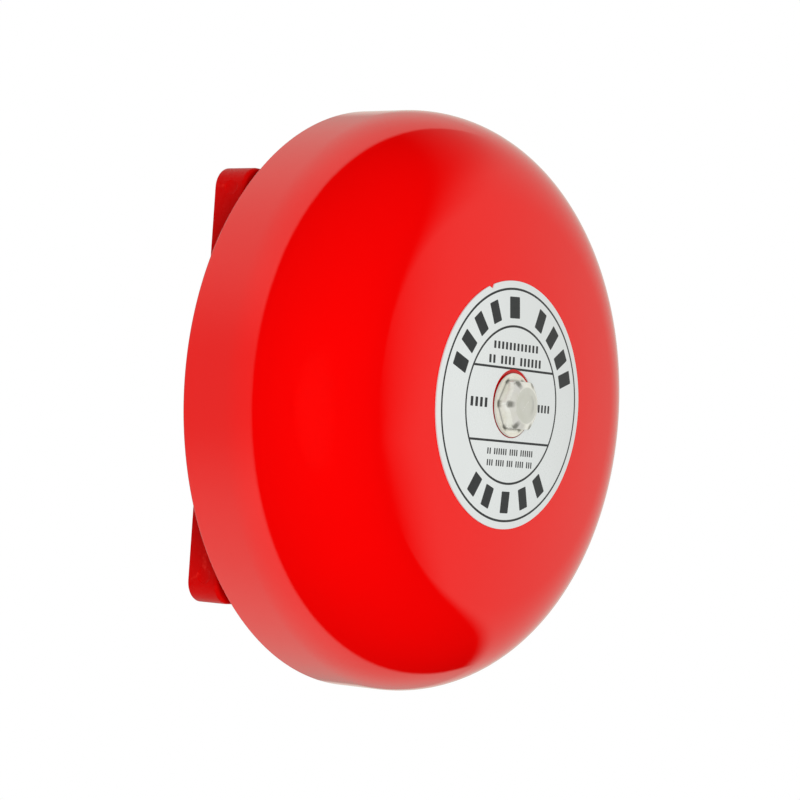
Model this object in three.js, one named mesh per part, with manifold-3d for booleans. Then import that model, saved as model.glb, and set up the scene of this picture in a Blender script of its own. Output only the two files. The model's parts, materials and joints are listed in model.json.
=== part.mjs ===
// A wall-mounted motor alarm bell: a round steel gong over a cam-driven striker, on a square cast base.
//
// Millimetres. In the finished group +Z is up and the gong faces -Y, with the wall at Y = 0.
// Every piece is drawn in the bell's own frame first: x to the right, y up, z out of the wall.
// The motor turns a snail cam whose radius grows evenly with the angle. The cam pushes a follower pin,
// so the striker draws back from the gong in proportion to the turn, and its spring throws it forward
// when the follower drops off the cam's step.
import * as THREE from "three";
import { mergeVertices } from "three/addons/utils/BufferGeometryUtils.js";
import Module from "manifold-3d";

const wasm = await Module();
wasm.setup();

// ---- Driving dimensions -------------------------------------------------------------------------

const GAP = 0.15; // between faces that touch

const BASE_SIDE = 109;
const BASE_DEPTH = 9.5;
const BASE_CORNER = 5.3;
const BASE_WALL = 4;
const BASE_PLATE = 2.2;
const MOUNT_HOLE_OFFSET = 42; // the four wall screws stand on an 84 mm square
const MOUNT_HOLE_RADIUS = 2.4;
const MOUNT_BOSS_RADIUS = 5;
const CENTRE_BOSS_RADIUS = 11;
const RIB_WIDTH = 2;
const SEAL_INSET = 1.2;
const SEAL_WIDTH = 1.7;
const SEAL_DEPTH = 1.5;
const CABLE_HOLE = { x: -20, y: -38.5, radius: 6.5 };

const RIM_GAP = 2.3; // from the base's front face to the gong's rim
const GONG_RADIUS = 75;
const GONG_DEPTH = 45.2;
const GONG_WALL = 1.8;
const SKIRT_HEIGHT = 13.5;
const SHOULDER_RADIUS = 28.3;
const GONG_HOLE_RADIUS = 4.4;
const LABEL_RADIUS = 31.5;
const LABEL_HOLE_RADIUS = 9.05;
const LABEL_THICKNESS = 0.25;

const BOLT_FLATS = 12; // across the hexagon's flats
const BOLT_FLANGE_RADIUS = 8.1;
const BOLT_FLANGE_HEIGHT = 0.6;
const BOLT_HEAD_HEIGHT = 4;
const BOLT_THREAD_RADIUS = 3.9;
const BOLT_THREAD_LENGTH = 17;
const POST_RADIUS = 6;
const POST_WASHER = 1;

const CHASSIS_FLOOR = { left: -39, right: 63, half: 22.5, bottom: 10.5, top: 13 };
const CHASSIS_TOP = 23.9;
const CHANNEL_HALF = 14; // the shuttle's channel, from its middle to its side walls
const CHANNEL_WALL = 3;
const EAR_RADIUS = 4.4;
const EAR_PLACES = [[-30, 26.5], [-30, -26.5], [36, 26.5], [36, -26.5]];
const PLATE_SCREW_PLACES = [[14.5, 19], [14.5, -19], [57.5, 19], [57.5, -19]];
const BOARD_POST_PLACES = [[-34.5, 15.5], [-34.5, -15.5], [-14.5, 15.5], [-14.5, -15.5]];
const BOARD = { left: -38, right: -11, half: 19, bottom: 18.1, top: 19.7 };

const MOTOR_X = 27;
const MOTOR_RADIUS = 12.2;
const MOTOR_CAN_WALL = 1;
const MOTOR_CAN_HEIGHT = 19;
const MOTOR_CAP_HEIGHT = 3;
const MOTOR_PLATE = { bottom: 24.05, thickness: 1.4, left: 9.2, right: 62.8, half: 22.3 };
const SHAFT_RADIUS = 1.15;

const STRIKE_HEIGHT = 19.75; // the striker's line, above the wall plane
const CAM_LOW_RADIUS = 5.2;
const CAM_RISE = 3.4; // the growth in the cam's radius over a whole turn
const CAM_STEP_AHEAD = THREE.MathUtils.degToRad(20); // from the step to the follower at rest
const CAM = { bottom: 17, top: 22.4 };
const FOLLOWER_RADIUS = 1.5;
const SHUTTLE = { left: 14.6, right: 43.5, half: 13.2, bottom: 16.75, top: 22.75 };
const WINDOW = { left: 18.6, right: 39.5, half: 9.6 };
const ROD_RADIUS = 2.2;
const INNER_GUIDE = { left: 45, right: 48 };
const OUTER_GUIDE = { left: 59.9, right: 62.6 };
const BUSH_RADIUS = 3.5;
const SPRING = { left: 48.2, right: 57.3, radius: 3.4, wire: 0.35, turns: 6 };
const COLLAR = { left: 57.5, right: 59, radius: 4.2 };
const HEAD = { left: 66, right: 72.7, radius: 4.6 };

// ---- Heights worked out from them ---------------------------------------------------------------

const RIM_Z = BASE_DEPTH + RIM_GAP;
const APEX_Z = RIM_Z + GONG_DEPTH;
const CAN_BOTTOM = MOTOR_PLATE.bottom + MOTOR_PLATE.thickness + GAP;
const CAN_TOP = CAN_BOTTOM + MOTOR_CAN_HEIGHT;
const CAP_TOP = CAN_TOP + MOTOR_CAP_HEIGHT;
const PLATE_TOP = MOTOR_PLATE.bottom + MOTOR_PLATE.thickness;

// ---- Materials ----------------------------------------------------------------------------------

const finish = (color, roughness, metalness) =>
  new THREE.MeshStandardMaterial({ color, roughness, metalness });
const MATERIALS = {
  redGloss: finish(0xf00a08, 0.12, 0),
  redCast: finish(0xb80a0a, 0.3, 0),
  zinc: finish(0xc9c6b4, 0.25, 1),
  steel: finish(0xa8abae, 0.3, 1),
  brass: finish(0xc09a4a, 0.3, 1),
  bronze: finish(0x9a6a3c, 0.4, 1),
  copper: finish(0xa8552c, 0.35, 1),
  ferrite: finish(0x2c2c30, 0.8, 0),
  label: finish(0xe6e8e6, 0.4, 0),
  rubber: finish(0x1c1c1c, 0.85, 0),
  nylonBlack: finish(0x202124, 0.5, 0),
  nylonWhite: finish(0xe4e0d2, 0.45, 0),
  board: finish(0x1c5a34, 0.45, 0),
  terminal: finish(0x2c6a4a, 0.4, 0),
  sleeve: finish(0x23252c, 0.35, 0),
  leadRed: finish(0xb01414, 0.5, 0),
  leadBlack: finish(0x151515, 0.5, 0),
};

// ---- Solids: geometry in, geometry out ----------------------------------------------------------

// A closed three.js geometry as a manifold-3d solid.
function solid(geometry) {
  const bare = geometry.clone();
  bare.deleteAttribute("normal");
  bare.deleteAttribute("uv");
  const merged = mergeVertices(bare, 1e-4);
  return new wasm.Manifold(
    new wasm.Mesh({
      numProp: 3,
      vertProperties: new Float32Array(merged.attributes.position.array),
      triVerts: new Uint32Array(merged.index.array),
    }),
  );
}

// A manifold-3d solid as a three.js geometry.
function geometryOf(body) {
  const mesh = body.getMesh();
  return new THREE.BufferGeometry()
    .setAttribute("position", new THREE.BufferAttribute(mesh.vertProperties, 3))
    .setIndex(new THREE.BufferAttribute(mesh.triVerts, 1));
}

const join = (...geometries) => geometryOf(geometries.map(solid).reduce((a, b) => a.add(b)));
const cut = (body, ...tools) => geometryOf(tools.map(solid).reduce((a, b) => a.subtract(b), solid(body)));

// An outline in x and y, drawn out between two heights.
function slab(shape, bottom, top, curveSegments = 4) {
  const geometry = new THREE.ExtrudeGeometry(shape, { depth: top - bottom, bevelEnabled: false, curveSegments });
  return geometry.translate(0, 0, bottom);
}

function rectangle(left, right, bottom, top, corner = 0) {
  const shape = new THREE.Shape();
  if (!corner) {
    shape.moveTo(left, bottom).lineTo(right, bottom).lineTo(right, top).lineTo(left, top).closePath();
    return shape;
  }
  shape.absarc(right - corner, bottom + corner, corner, -Math.PI / 2, 0);
  shape.absarc(right - corner, top - corner, corner, 0, Math.PI / 2);
  shape.absarc(left + corner, top - corner, corner, Math.PI / 2, Math.PI);
  shape.absarc(left + corner, bottom + corner, corner, Math.PI, Math.PI * 1.5);
  return shape;
}

const square = (side, corner) => rectangle(-side / 2, side / 2, -side / 2, side / 2, corner);
const box = (left, right, low, high, bottom, top) => slab(rectangle(left, right, low, high), bottom, top);

// An upright cylinder at x, y.
function rod(radius, bottom, top, x = 0, y = 0, sides = 16) {
  return new THREE.CylinderGeometry(radius, radius, top - bottom, sides)
    .rotateX(Math.PI / 2)
    .translate(x, y, (bottom + top) / 2);
}

// A cylinder that lies along x on the striker's line.
function lyingRod(radius, left, right, sides = 16) {
  return new THREE.CylinderGeometry(radius, radius, right - left, sides)
    .rotateZ(Math.PI / 2)
    .translate((left + right) / 2, 0, STRIKE_HEIGHT);
}

// A closed profile of [radius, height] points, turned about an upright axis.
function turned(profile, sides = 20) {
  const points = profile.map(([radius, height]) => new THREE.Vector2(radius, height));
  points.push(points[0].clone());
  const geometry = new THREE.LatheGeometry(points, sides);
  return THREE.ShapeUtils.area(points) > 0 ? geometry.rotateX(Math.PI / 2) : flipped(geometry).rotateX(Math.PI / 2);
}

// The same surface with its faces turned round.
function flipped(geometry) {
  const index = geometry.index.array;
  for (let i = 0; i < index.length; i += 3) {
    [index[i + 1], index[i + 2]] = [index[i + 2], index[i + 1]];
  }
  return geometry;
}

// A tube along a smooth curve through the points.
function tube(points, radius, sides, steps) {
  const section = new THREE.Shape();
  for (let i = 0; i < sides; i += 1) {
    const angle = (i / sides) * 2 * Math.PI;
    section[i ? "lineTo" : "moveTo"](radius * Math.cos(angle), radius * Math.sin(angle));
  }
  section.closePath();
  const extrudePath = new THREE.CatmullRomCurve3(points.map((p) => new THREE.Vector3(...p)));
  return new THREE.ExtrudeGeometry(section, { steps, extrudePath });
}

// Points of an arc about [radius, height], from one angle to another.
function arc(centre, radius, from, to, steps) {
  return Array.from({ length: steps + 1 }, (_, i) => {
    const angle = from + ((to - from) * i) / steps;
    return [centre[0] + radius * Math.cos(angle), centre[1] + radius * Math.sin(angle)];
  });
}

// ---- Gong: skirt, round shoulder and shallow dome, each arc meeting the next without a corner ------

const SHOULDER_CENTRE = [GONG_RADIUS - SHOULDER_RADIUS, RIM_Z + SKIRT_HEIGHT];
const shoulderBelowApex = APEX_Z - SHOULDER_CENTRE[1];
const DOME_RADIUS =
  (SHOULDER_CENTRE[0] ** 2 + shoulderBelowApex ** 2 - SHOULDER_RADIUS ** 2) /
  (2 * (shoulderBelowApex - SHOULDER_RADIUS));
const DOME_CENTRE = [0, APEX_Z - DOME_RADIUS];
const DOME_EDGE_ANGLE = Math.atan2(SHOULDER_CENTRE[1] - DOME_CENTRE[1], SHOULDER_CENTRE[0]);

// The gong's outer surface, moved in by an offset, from the rim to a small radius at the middle.
function gongSurface(offset, endRadius, shoulderSteps) {
  const dome = DOME_RADIUS - offset;
  return [
    [GONG_RADIUS - offset, RIM_Z],
    ...arc(SHOULDER_CENTRE, SHOULDER_RADIUS - offset, 0, DOME_EDGE_ANGLE, shoulderSteps),
    ...arc(DOME_CENTRE, dome, DOME_EDGE_ANGLE, Math.acos(endRadius / dome), 3).slice(1),
  ];
}

// A patch of the dome between two radii, moved out by an offset.
function domePatch(offset, fromRadius, toRadius) {
  const dome = DOME_RADIUS + offset;
  return arc(DOME_CENTRE, dome, Math.acos(fromRadius / dome), Math.acos(toRadius / dome), 2);
}

const gong = () =>
  turned([...gongSurface(0, GONG_HOLE_RADIUS, 8), ...gongSurface(GONG_WALL, GONG_HOLE_RADIUS, 6).reverse()], 48);

const label = () =>
  turned(
    [
      ...domePatch(GAP, LABEL_HOLE_RADIUS, LABEL_RADIUS),
      ...domePatch(GAP + LABEL_THICKNESS, LABEL_HOLE_RADIUS, LABEL_RADIUS).reverse(),
    ],
    40,
  );

// ---- Gong bolt and post -------------------------------------------------------------------------

// A flanged hexagon bolt: chamfered head with a shallow dish, conical flange and plain shank.
function gongBolt() {
  const seat = APEX_Z + GAP;
  const top = seat + BOLT_HEAD_HEIGHT;
  const corner = BOLT_FLATS / Math.sqrt(3);
  const chamfer = 0.8;
  const dishRadius = 3.4;
  const dishDepth = 0.4;
  const prism = rod(corner, seat + BOLT_FLANGE_HEIGHT, top, 0, 0, 6).rotateZ(Math.PI / 2);
  const chamferedBlank = turned([
    [0, seat],
    [corner + 1, seat],
    [corner + 1, top - chamfer - 0.6],
    [BOLT_FLATS / 2 - 0.3, top],
    [0, top],
  ], 24);
  const head = geometryOf(solid(prism).intersect(solid(chamferedBlank)));
  const flange = turned([
    [0, seat],
    [BOLT_FLANGE_RADIUS, seat],
    [BOLT_FLANGE_RADIUS, seat + BOLT_FLANGE_HEIGHT - 0.2],
    [corner - 0.3, seat + BOLT_FLANGE_HEIGHT + 0.4],
    [0, seat + BOLT_FLANGE_HEIGHT + 0.4],
  ], 24);
  const dish = turned([
    [0, top - dishDepth],
    [dishRadius - 0.6, top - dishDepth],
    [dishRadius + 0.4, top + 1],
    [0, top + 1],
  ], 16);
  const shank = rod(BOLT_THREAD_RADIUS, seat - BOLT_THREAD_LENGTH, seat + 0.5);
  return cut(join(head, flange, shank), dish);
}

const postTop = APEX_Z - GONG_WALL - POST_WASHER - 2 * GAP;

// The post that carries the gong: a spigot in the base, a round body and a tapped hole for the bolt.
function gongPost() {
  const spigotRadius = 4;
  const spigotBottom = 3.4;
  const holeDepth = BOLT_THREAD_LENGTH + 2;
  const body = join(
    rod(POST_RADIUS, BASE_DEPTH + GAP, postTop, 0, 0, 24),
    rod(spigotRadius, spigotBottom, BASE_DEPTH + 1, 0, 0, 24),
  );
  return cut(body, rod(BOLT_THREAD_RADIUS + GAP, postTop - holeDepth, postTop + 1));
}

const ring = (outer, inner, bottom, top, x = 0, y = 0, sides = 16) =>
  turned([[inner, bottom], [outer, bottom], [outer, top], [inner, top]], sides).translate(x, y, 0);

// ---- Base: an inverted cast tray, open to the wall ------------------------------------------------

function mountingBase() {
  const plateBack = BASE_DEPTH - BASE_PLATE;
  const inside = BASE_SIDE - 2 * BASE_WALL;
  const corners = [[1, 1], [1, -1], [-1, 1], [-1, -1]].map((s) => s.map((v) => v * MOUNT_HOLE_OFFSET));
  const tray = cut(slab(square(BASE_SIDE, BASE_CORNER), 0, BASE_DEPTH), slab(square(inside, 2), -1, plateBack, 2));
  const seat = plateBack + 0.5; // bosses and ribs sink this far into the plate
  const body = join(
    tray,
    ...corners.map(([x, y]) => rod(MOUNT_BOSS_RADIUS, 0, seat, x, y, 12)),
    rod(CENTRE_BOSS_RADIUS, 0, seat, 0, 0, 24),
    ...EAR_PLACES.map(([x, y]) => rod(3.6, 2, seat, x, y, 10)),
    box(-RIB_WIDTH / 2, RIB_WIDTH / 2, CENTRE_BOSS_RADIUS - 1, inside / 2 + 1, 3, seat),
    box(-RIB_WIDTH / 2, RIB_WIDTH / 2, -inside / 2 - 1, 1 - CENTRE_BOSS_RADIUS, 3, seat),
  );
  const groove = cut(
    slab(square(BASE_SIDE - 2 * SEAL_INSET, BASE_CORNER - SEAL_INSET), -1, SEAL_DEPTH),
    slab(square(BASE_SIDE - 2 * (SEAL_INSET + SEAL_WIDTH), BASE_CORNER - SEAL_INSET - SEAL_WIDTH), -2, 2),
  );
  return cut(
    body,
    groove,
    ...corners.map(([x, y]) => rod(MOUNT_HOLE_RADIUS, -1, BASE_DEPTH + 1, x, y, 10)),
    ...EAR_PLACES.map(([x, y]) => rod(1.8, 3.5, BASE_DEPTH + 1, x, y, 8)),
    rod(4 + GAP, 3.2, BASE_DEPTH + 1, 0, 0, 24),
    rod(CABLE_HOLE.radius, -1, BASE_DEPTH + 1, CABLE_HOLE.x, CABLE_HOLE.y, 20),
  );
}

function wallSeal() {
  const outer = BASE_SIDE - 2 * (SEAL_INSET + GAP);
  const inner = outer - 2 * (SEAL_WIDTH - 2 * GAP);
  return cut(
    slab(square(outer, BASE_CORNER - SEAL_INSET - GAP), 0, SEAL_DEPTH - GAP),
    slab(square(inner, BASE_CORNER - SEAL_INSET - SEAL_WIDTH + GAP), -1, 2),
  );
}

// A rubber grommet with a groove that grips the base's plate.
function cableGrommet() {
  const flange = CABLE_HOLE.radius + 2;
  const waist = CABLE_HOLE.radius - GAP;
  const back = BASE_DEPTH - BASE_PLATE - GAP;
  const front = BASE_DEPTH + GAP;
  const bore = 3.6;
  return turned([
    [bore, back - 1.6],
    [flange - 0.6, back - 1.6],
    [flange, back - 0.8],
    [flange, back],
    [waist, back],
    [waist, front],
    [flange, front],
    [flange, front + 0.8],
    [flange - 0.8, front + 1.6],
    [bore, front + 1.6],
  ], 20).translate(CABLE_HOLE.x, CABLE_HOLE.y, 0);
}

// ---- Chassis: a moulded tray with the shuttle's channel, its two guides and the board's posts ------

const chassisOutline = (inset) =>
  rectangle(
    CHASSIS_FLOOR.left + inset,
    CHASSIS_FLOOR.right - inset,
    inset - CHASSIS_FLOOR.half,
    CHASSIS_FLOOR.half - inset,
    4,
  );

function chassisGasket() {
  const sheet = slab(chassisOutline(0.8), BASE_DEPTH + GAP, CHASSIS_FLOOR.bottom - GAP, 3);
  return cut(sheet, rod(POST_RADIUS + 1, BASE_DEPTH - 1, CHASSIS_FLOOR.top));
}

function mechanismChassis() {
  const floor = CHASSIS_FLOOR;
  const sunk = floor.top - 0.5; // everything on the floor starts this far inside it
  const wallOuter = CHANNEL_HALF + CHANNEL_WALL;
  const endWall = { left: 9, right: 10.8 };
  const rail = { low: 11.5, high: CHANNEL_HALF + 0.5, top: SHUTTLE.bottom - GAP - 0.1 };
  const channel = { left: endWall.left, right: OUTER_GUIDE.right };
  const sides = [1, -1];
  const across = (low, high, side) => (side > 0 ? [low, high] : [-high, -low]);
  const body = join(
    slab(chassisOutline(0), floor.bottom, floor.top, 3),
    ...EAR_PLACES.map(([x, y]) => rod(EAR_RADIUS, BASE_DEPTH + GAP, floor.top, x, y)),
    ...EAR_PLACES.map(([x, y]) => {
      const inner = Math.sign(y) * (floor.half - 0.5);
      const reach = [Math.min(y, inner), Math.max(y, inner)];
      return box(x - EAR_RADIUS, x + EAR_RADIUS, ...reach, BASE_DEPTH + GAP, floor.top);
    }),
    ...sides.map((s) => box(channel.left, channel.right, ...across(CHANNEL_HALF, wallOuter, s), sunk, CHASSIS_TOP)),
    ...sides.map((s) => box(endWall.left, INNER_GUIDE.left + 1, ...across(rail.low, rail.high, s), sunk, rail.top)),
    box(endWall.left, endWall.right, -wallOuter, wallOuter, sunk, CHASSIS_TOP),
    box(INNER_GUIDE.left, INNER_GUIDE.right, -wallOuter, wallOuter, sunk, CHASSIS_TOP),
    box(OUTER_GUIDE.left, OUTER_GUIDE.right, -wallOuter, wallOuter, sunk, CHASSIS_TOP),
    rod(8.4, sunk, 21, 0, 0, 20),
    ...BOARD_POST_PLACES.map(([x, y]) => rod(2.6, sunk, BOARD.bottom - GAP, x, y, 10)),
    ...PLATE_SCREW_PLACES.map(([x, y]) => rod(3.2, sunk, CHASSIS_TOP, x, y, 12)),
  );
  return cut(
    body,
    rod(POST_RADIUS + 0.4, 5, 30, 0, 0, 20),
    ...EAR_PLACES.map(([x, y]) => rod(1.8, 5, 20, x, y, 8)),
    ...BOARD_POST_PLACES.map(([x, y]) => rod(1.3, floor.top, 30, x, y, 8)),
    ...PLATE_SCREW_PLACES.map(([x, y]) => rod(1.45, floor.top + 1, 30, x, y, 8)),
    lyingRod(BUSH_RADIUS + GAP, INNER_GUIDE.left - 1, INNER_GUIDE.right + 1),
    lyingRod(BUSH_RADIUS + GAP, OUTER_GUIDE.left - 1, OUTER_GUIDE.right + 1),
  );
}

// A cross-recessed pan-head screw that bears on a face at the given height.
function panScrew(x, y, seat, length, radius, headRadius, headHeight) {
  const head = turned([
    [0, seat + GAP],
    [headRadius, seat + GAP],
    [headRadius, seat + GAP + headHeight * 0.45],
    [headRadius * 0.72, seat + GAP + headHeight],
    [0, seat + GAP + headHeight],
  ], 12);
  const top = seat + GAP + headHeight;
  const slot = headRadius * 0.58;
  const slotHalf = headRadius * 0.13;
  const slotBottom = top - headHeight * 0.5;
  const body = join(head, rod(radius, seat - length, seat + GAP + 0.4, 0, 0, 8));
  return cut(
    body,
    box(-slot, slot, -slotHalf, slotHalf, slotBottom, top + 1),
    box(-slotHalf, slotHalf, -slot, slot, slotBottom, top + 1),
  ).translate(x, y, 0);
}

// ---- Motor: can, cap, magnets, bushes, brushes and tabs ----------------------------------------------

const MOTOR_BUSH_RADIUS = 3;

function motorPlate() {
  const { left, right, half, bottom } = MOTOR_PLATE;
  const plate = slab(rectangle(left, right, -half, half, 3), bottom, PLATE_TOP, 3);
  return cut(
    plate,
    rod(MOTOR_BUSH_RADIUS + 1.3, 20, 30, MOTOR_X, 0),
    rod(7, 20, 30, 51.5, 0, 20),
    ...PLATE_SCREW_PLACES.map(([x, y]) => rod(1.5, 20, 30, x, y, 8)),
    ...[1, -1].map((s) => rod(1.5, 20, 30, MOTOR_X, s * CLAMP.screwY, 8)),
  );
}

function motorCan() {
  const inner = MOTOR_RADIUS - MOTOR_CAN_WALL;
  const neck = MOTOR_BUSH_RADIUS + 0.9;
  const neckBottom = CAN_BOTTOM - 1.3;
  return turned([
    [MOTOR_BUSH_RADIUS + GAP, neckBottom],
    [neck, neckBottom],
    [neck, CAN_BOTTOM],
    [MOTOR_RADIUS - 1.2, CAN_BOTTOM],
    [MOTOR_RADIUS, CAN_BOTTOM + 1.2],
    [MOTOR_RADIUS, CAN_TOP],
    [inner, CAN_TOP],
    [inner, CAN_BOTTOM + MOTOR_CAN_WALL],
    [MOTOR_BUSH_RADIUS + GAP, CAN_BOTTOM + MOTOR_CAN_WALL],
  ], 28).translate(MOTOR_X, 0, 0);
}

const TAB_OFFSET = 8;

function motorEndCap() {
  const lip = MOTOR_RADIUS - MOTOR_CAN_WALL - GAP;
  const body = turned([
    [2.2 + GAP, CAN_TOP + GAP],
    [lip - 1, CAN_TOP + GAP],
    [lip - 1, CAN_TOP - 1.2],
    [lip, CAN_TOP - 1.2],
    [lip, CAN_TOP + GAP],
    [MOTOR_RADIUS, CAN_TOP + GAP],
    [MOTOR_RADIUS, CAP_TOP - 0.8],
    [MOTOR_RADIUS - 0.8, CAP_TOP],
    [2.2 + GAP, CAP_TOP],
  ], 28).translate(MOTOR_X, 0, 0);
  const slots = [1, -1].map((s) => {
    const x = MOTOR_X + s * TAB_OFFSET;
    return box(x - 0.45, x + 0.45, -1.3, 1.3, CAN_TOP - 2, CAP_TOP + 1);
  });
  return cut(body, ...slots);
}

// One of two arc magnets on the can's inner wall.
function motorMagnet(side) {
  const outer = MOTOR_RADIUS - MOTOR_CAN_WALL - GAP;
  const inner = 8.7;
  const half = THREE.MathUtils.degToRad(62);
  const shape = new THREE.Shape();
  shape.absarc(0, 0, outer, -half, half);
  shape.absarc(0, 0, inner, half, -half, true);
  return slab(shape, CAN_BOTTOM + 2.5, CAN_TOP - 3, 7)
    .rotateZ(side > 0 ? Math.PI / 2 : -Math.PI / 2)
    .translate(MOTOR_X, 0, 0);
}

const outputBush = () =>
  ring(MOTOR_BUSH_RADIUS, SHAFT_RADIUS + 0.06, CAN_BOTTOM - 1.3, CAN_BOTTOM + 1.6, MOTOR_X, 0);
const rearBush = () => ring(2.2, SHAFT_RADIUS + 0.06, CAN_TOP + GAP, CAP_TOP - 0.4, MOTOR_X, 0);

const COMMUTATOR_RADIUS = 2.8;

// A spring-bronze brush leaf that lies beside the commutator, under the end cap.
function motorBrush(side) {
  const reach = COMMUTATOR_RADIUS + 0.1;
  const bottom = CAN_TOP - 2.2;
  const [near, far] = side > 0 ? [reach, reach + 0.5] : [-reach - 0.5, -reach];
  return box(MOTOR_X + near, MOTOR_X + far, -6.2, 6.2, bottom, CAN_TOP - 0.2);
}

// A brass tab that stands in the end cap's slot for a soldered lead.
function motorTab(side) {
  const x = MOTOR_X + side * TAB_OFFSET;
  const blade = box(x - 0.25, x + 0.25, -1.1, 1.1, CAN_TOP + GAP, CAP_TOP + 2.4);
  const eye = rod(0.45, -2, 2, 0, 0, 8)
    .rotateY(Math.PI / 2)
    .translate(x, 0, CAP_TOP + 1.7);
  return cut(blade, eye);
}

// The steel strap over the motor, with a foot each side on the plate.
const CLAMP = { width: 7, thickness: 0.8, screwY: 18.6, footEnd: 21.6 };

function motorClamp() {
  const inner = MOTOR_RADIUS + 0.35;
  const outer = inner + CLAMP.thickness;
  const footBottom = PLATE_TOP + GAP;
  const footTop = footBottom + CLAMP.thickness;
  const crown = CAP_TOP + GAP;
  const round = 1.2;
  const shape = new THREE.Shape();
  shape.moveTo(-CLAMP.footEnd, footBottom);
  shape.lineTo(-inner, footBottom);
  shape.absarc(-inner + round, crown - round, round, Math.PI, Math.PI / 2, true);
  shape.absarc(inner - round, crown - round, round, Math.PI / 2, 0, true);
  shape.lineTo(inner, footBottom);
  shape.lineTo(CLAMP.footEnd, footBottom);
  shape.lineTo(CLAMP.footEnd, footTop);
  shape.lineTo(outer, footTop);
  shape.absarc(inner - round, crown - round, round + CLAMP.thickness, 0, Math.PI / 2);
  shape.absarc(-inner + round, crown - round, round + CLAMP.thickness, Math.PI / 2, Math.PI);
  shape.lineTo(-outer, footTop);
  shape.lineTo(-CLAMP.footEnd, footTop);
  shape.closePath();
  const strap = slab(shape, -CLAMP.width / 2, CLAMP.width / 2, 3)
    .rotateX(Math.PI / 2)
    .rotateZ(Math.PI / 2)
    .translate(MOTOR_X, 0, 0);
  return cut(
    strap,
    rod(1.5, 20, 35, MOTOR_X, CLAMP.screwY, 8),
    rod(1.5, 20, 35, MOTOR_X, -CLAMP.screwY, 8),
    rod(3.2, CAP_TOP - 1, CAP_TOP + 3, MOTOR_X, 0),
  );
}

// ---- Rotor: shaft, three-pole armature, commutator and cam ------------------------------------------

const POLE = { bottom: CAN_BOTTOM + 3.5, top: CAN_TOP - 5.2, tip: 8.1, cap: 1.4, stem: 1.3, hub: 2.6 };

const motorShaft = () => rod(SHAFT_RADIUS, CAM.bottom - 0.3, CAP_TOP - 0.8, MOTOR_X, 0);

function armatureCore() {
  const { bottom, top, tip, stem, hub } = POLE;
  const poleHalf = THREE.MathUtils.degToRad(48);
  const pole = (turn) => {
    const cap = new THREE.Shape();
    cap.absarc(0, 0, tip, -poleHalf, poleHalf);
    cap.absarc(0, 0, tip - POLE.cap, poleHalf, -poleHalf, true);
    return [slab(cap, bottom, top, 6).rotateZ(turn), box(0, tip - 0.7, -stem, stem, bottom, top).rotateZ(turn)];
  };
  const turns = [0, 1, 2].map((i) => (i * 2 * Math.PI) / 3);
  const body = join(rod(hub, bottom, top), ...turns.flatMap(pole));
  return cut(body, rod(SHAFT_RADIUS + GAP, 0, 60)).translate(MOTOR_X, 0, 0);
}

// The winding round one pole's stem.
function armatureCoil(index) {
  const { bottom, top, tip, stem, hub } = POLE;
  const near = hub + 0.6;
  const thick = 1.1;
  const far = Math.sqrt((tip - POLE.cap) ** 2 - (stem + thick) ** 2) - GAP;
  const outer = box(near, far, -stem - thick, stem + thick, bottom - thick, top + thick);
  const bore = box(near - 1, far + 1, -stem - GAP, stem + GAP, bottom - GAP, top + GAP);
  return cut(outer, bore)
    .rotateZ((index * 2 * Math.PI) / 3)
    .translate(MOTOR_X, 0, 0);
}

const commutator = () =>
  ring(COMMUTATOR_RADIUS, SHAFT_RADIUS + GAP, CAN_TOP - 3.6, CAN_TOP - 0.2, MOTOR_X, 0, 18);

// The cam's radius grows in proportion to the angle, measured back from the follower at rest.
function snailCam() {
  const steps = 40;
  const follower = Math.PI;
  const shape = new THREE.Shape();
  for (let i = 0; i <= steps; i += 1) {
    const share = i / steps;
    const radius = CAM_LOW_RADIUS + CAM_RISE * share;
    const angle = follower + CAM_STEP_AHEAD - share * 2 * Math.PI;
    shape[i ? "lineTo" : "moveTo"](radius * Math.cos(angle), radius * Math.sin(angle));
  }
  shape.closePath();
  const body = join(slab(shape, CAM.bottom, CAM.top), rod(3.2, CAM.top - 1, CAM.top + 1.3));
  return cut(body, rod(SHAFT_RADIUS + 0.1, 0, 40)).translate(MOTOR_X, 0, 0);
}

// ---- Striker: shuttle, follower pin, rod, collar and head -------------------------------------------

const restRadius = CAM_LOW_RADIUS + (CAM_RISE * CAM_STEP_AHEAD) / (2 * Math.PI);
const FOLLOWER_X = MOTOR_X - restRadius - GAP - FOLLOWER_RADIUS;

function strikerShuttle() {
  const { left, right, half, bottom, top } = SHUTTLE;
  const lugHalf = 2.3;
  const frame = cut(
    slab(rectangle(left, right, -half, half, 2), bottom, top, 2),
    slab(rectangle(WINDOW.left, WINDOW.right, -WINDOW.half, WINDOW.half, 2), 0, 40, 2),
  );
  const body = join(
    frame,
    box(WINDOW.left - 1, FOLLOWER_X, -lugHalf, lugHalf, bottom, top),
    lyingRod(4, WINDOW.right, right),
  );
  return cut(
    body,
    rod(FOLLOWER_RADIUS + 0.1, 0, 40, FOLLOWER_X, 0),
    lyingRod(ROD_RADIUS + GAP, WINDOW.right - 1, right + 1),
  );
}

const followerPin = () => rod(FOLLOWER_RADIUS, SHUTTLE.bottom - 0.6, SHUTTLE.top + 0.6, FOLLOWER_X, 0);
const strikerRod = () => lyingRod(ROD_RADIUS, WINDOW.right + 0.3, HEAD.left + 2.5);

const alongStriker = (geometry) => geometry.rotateY(Math.PI / 2).translate(0, 0, STRIKE_HEIGHT);

const springCollar = () =>
  alongStriker(ring(COLLAR.radius, ROD_RADIUS + 0.1, COLLAR.left, COLLAR.right));

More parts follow.
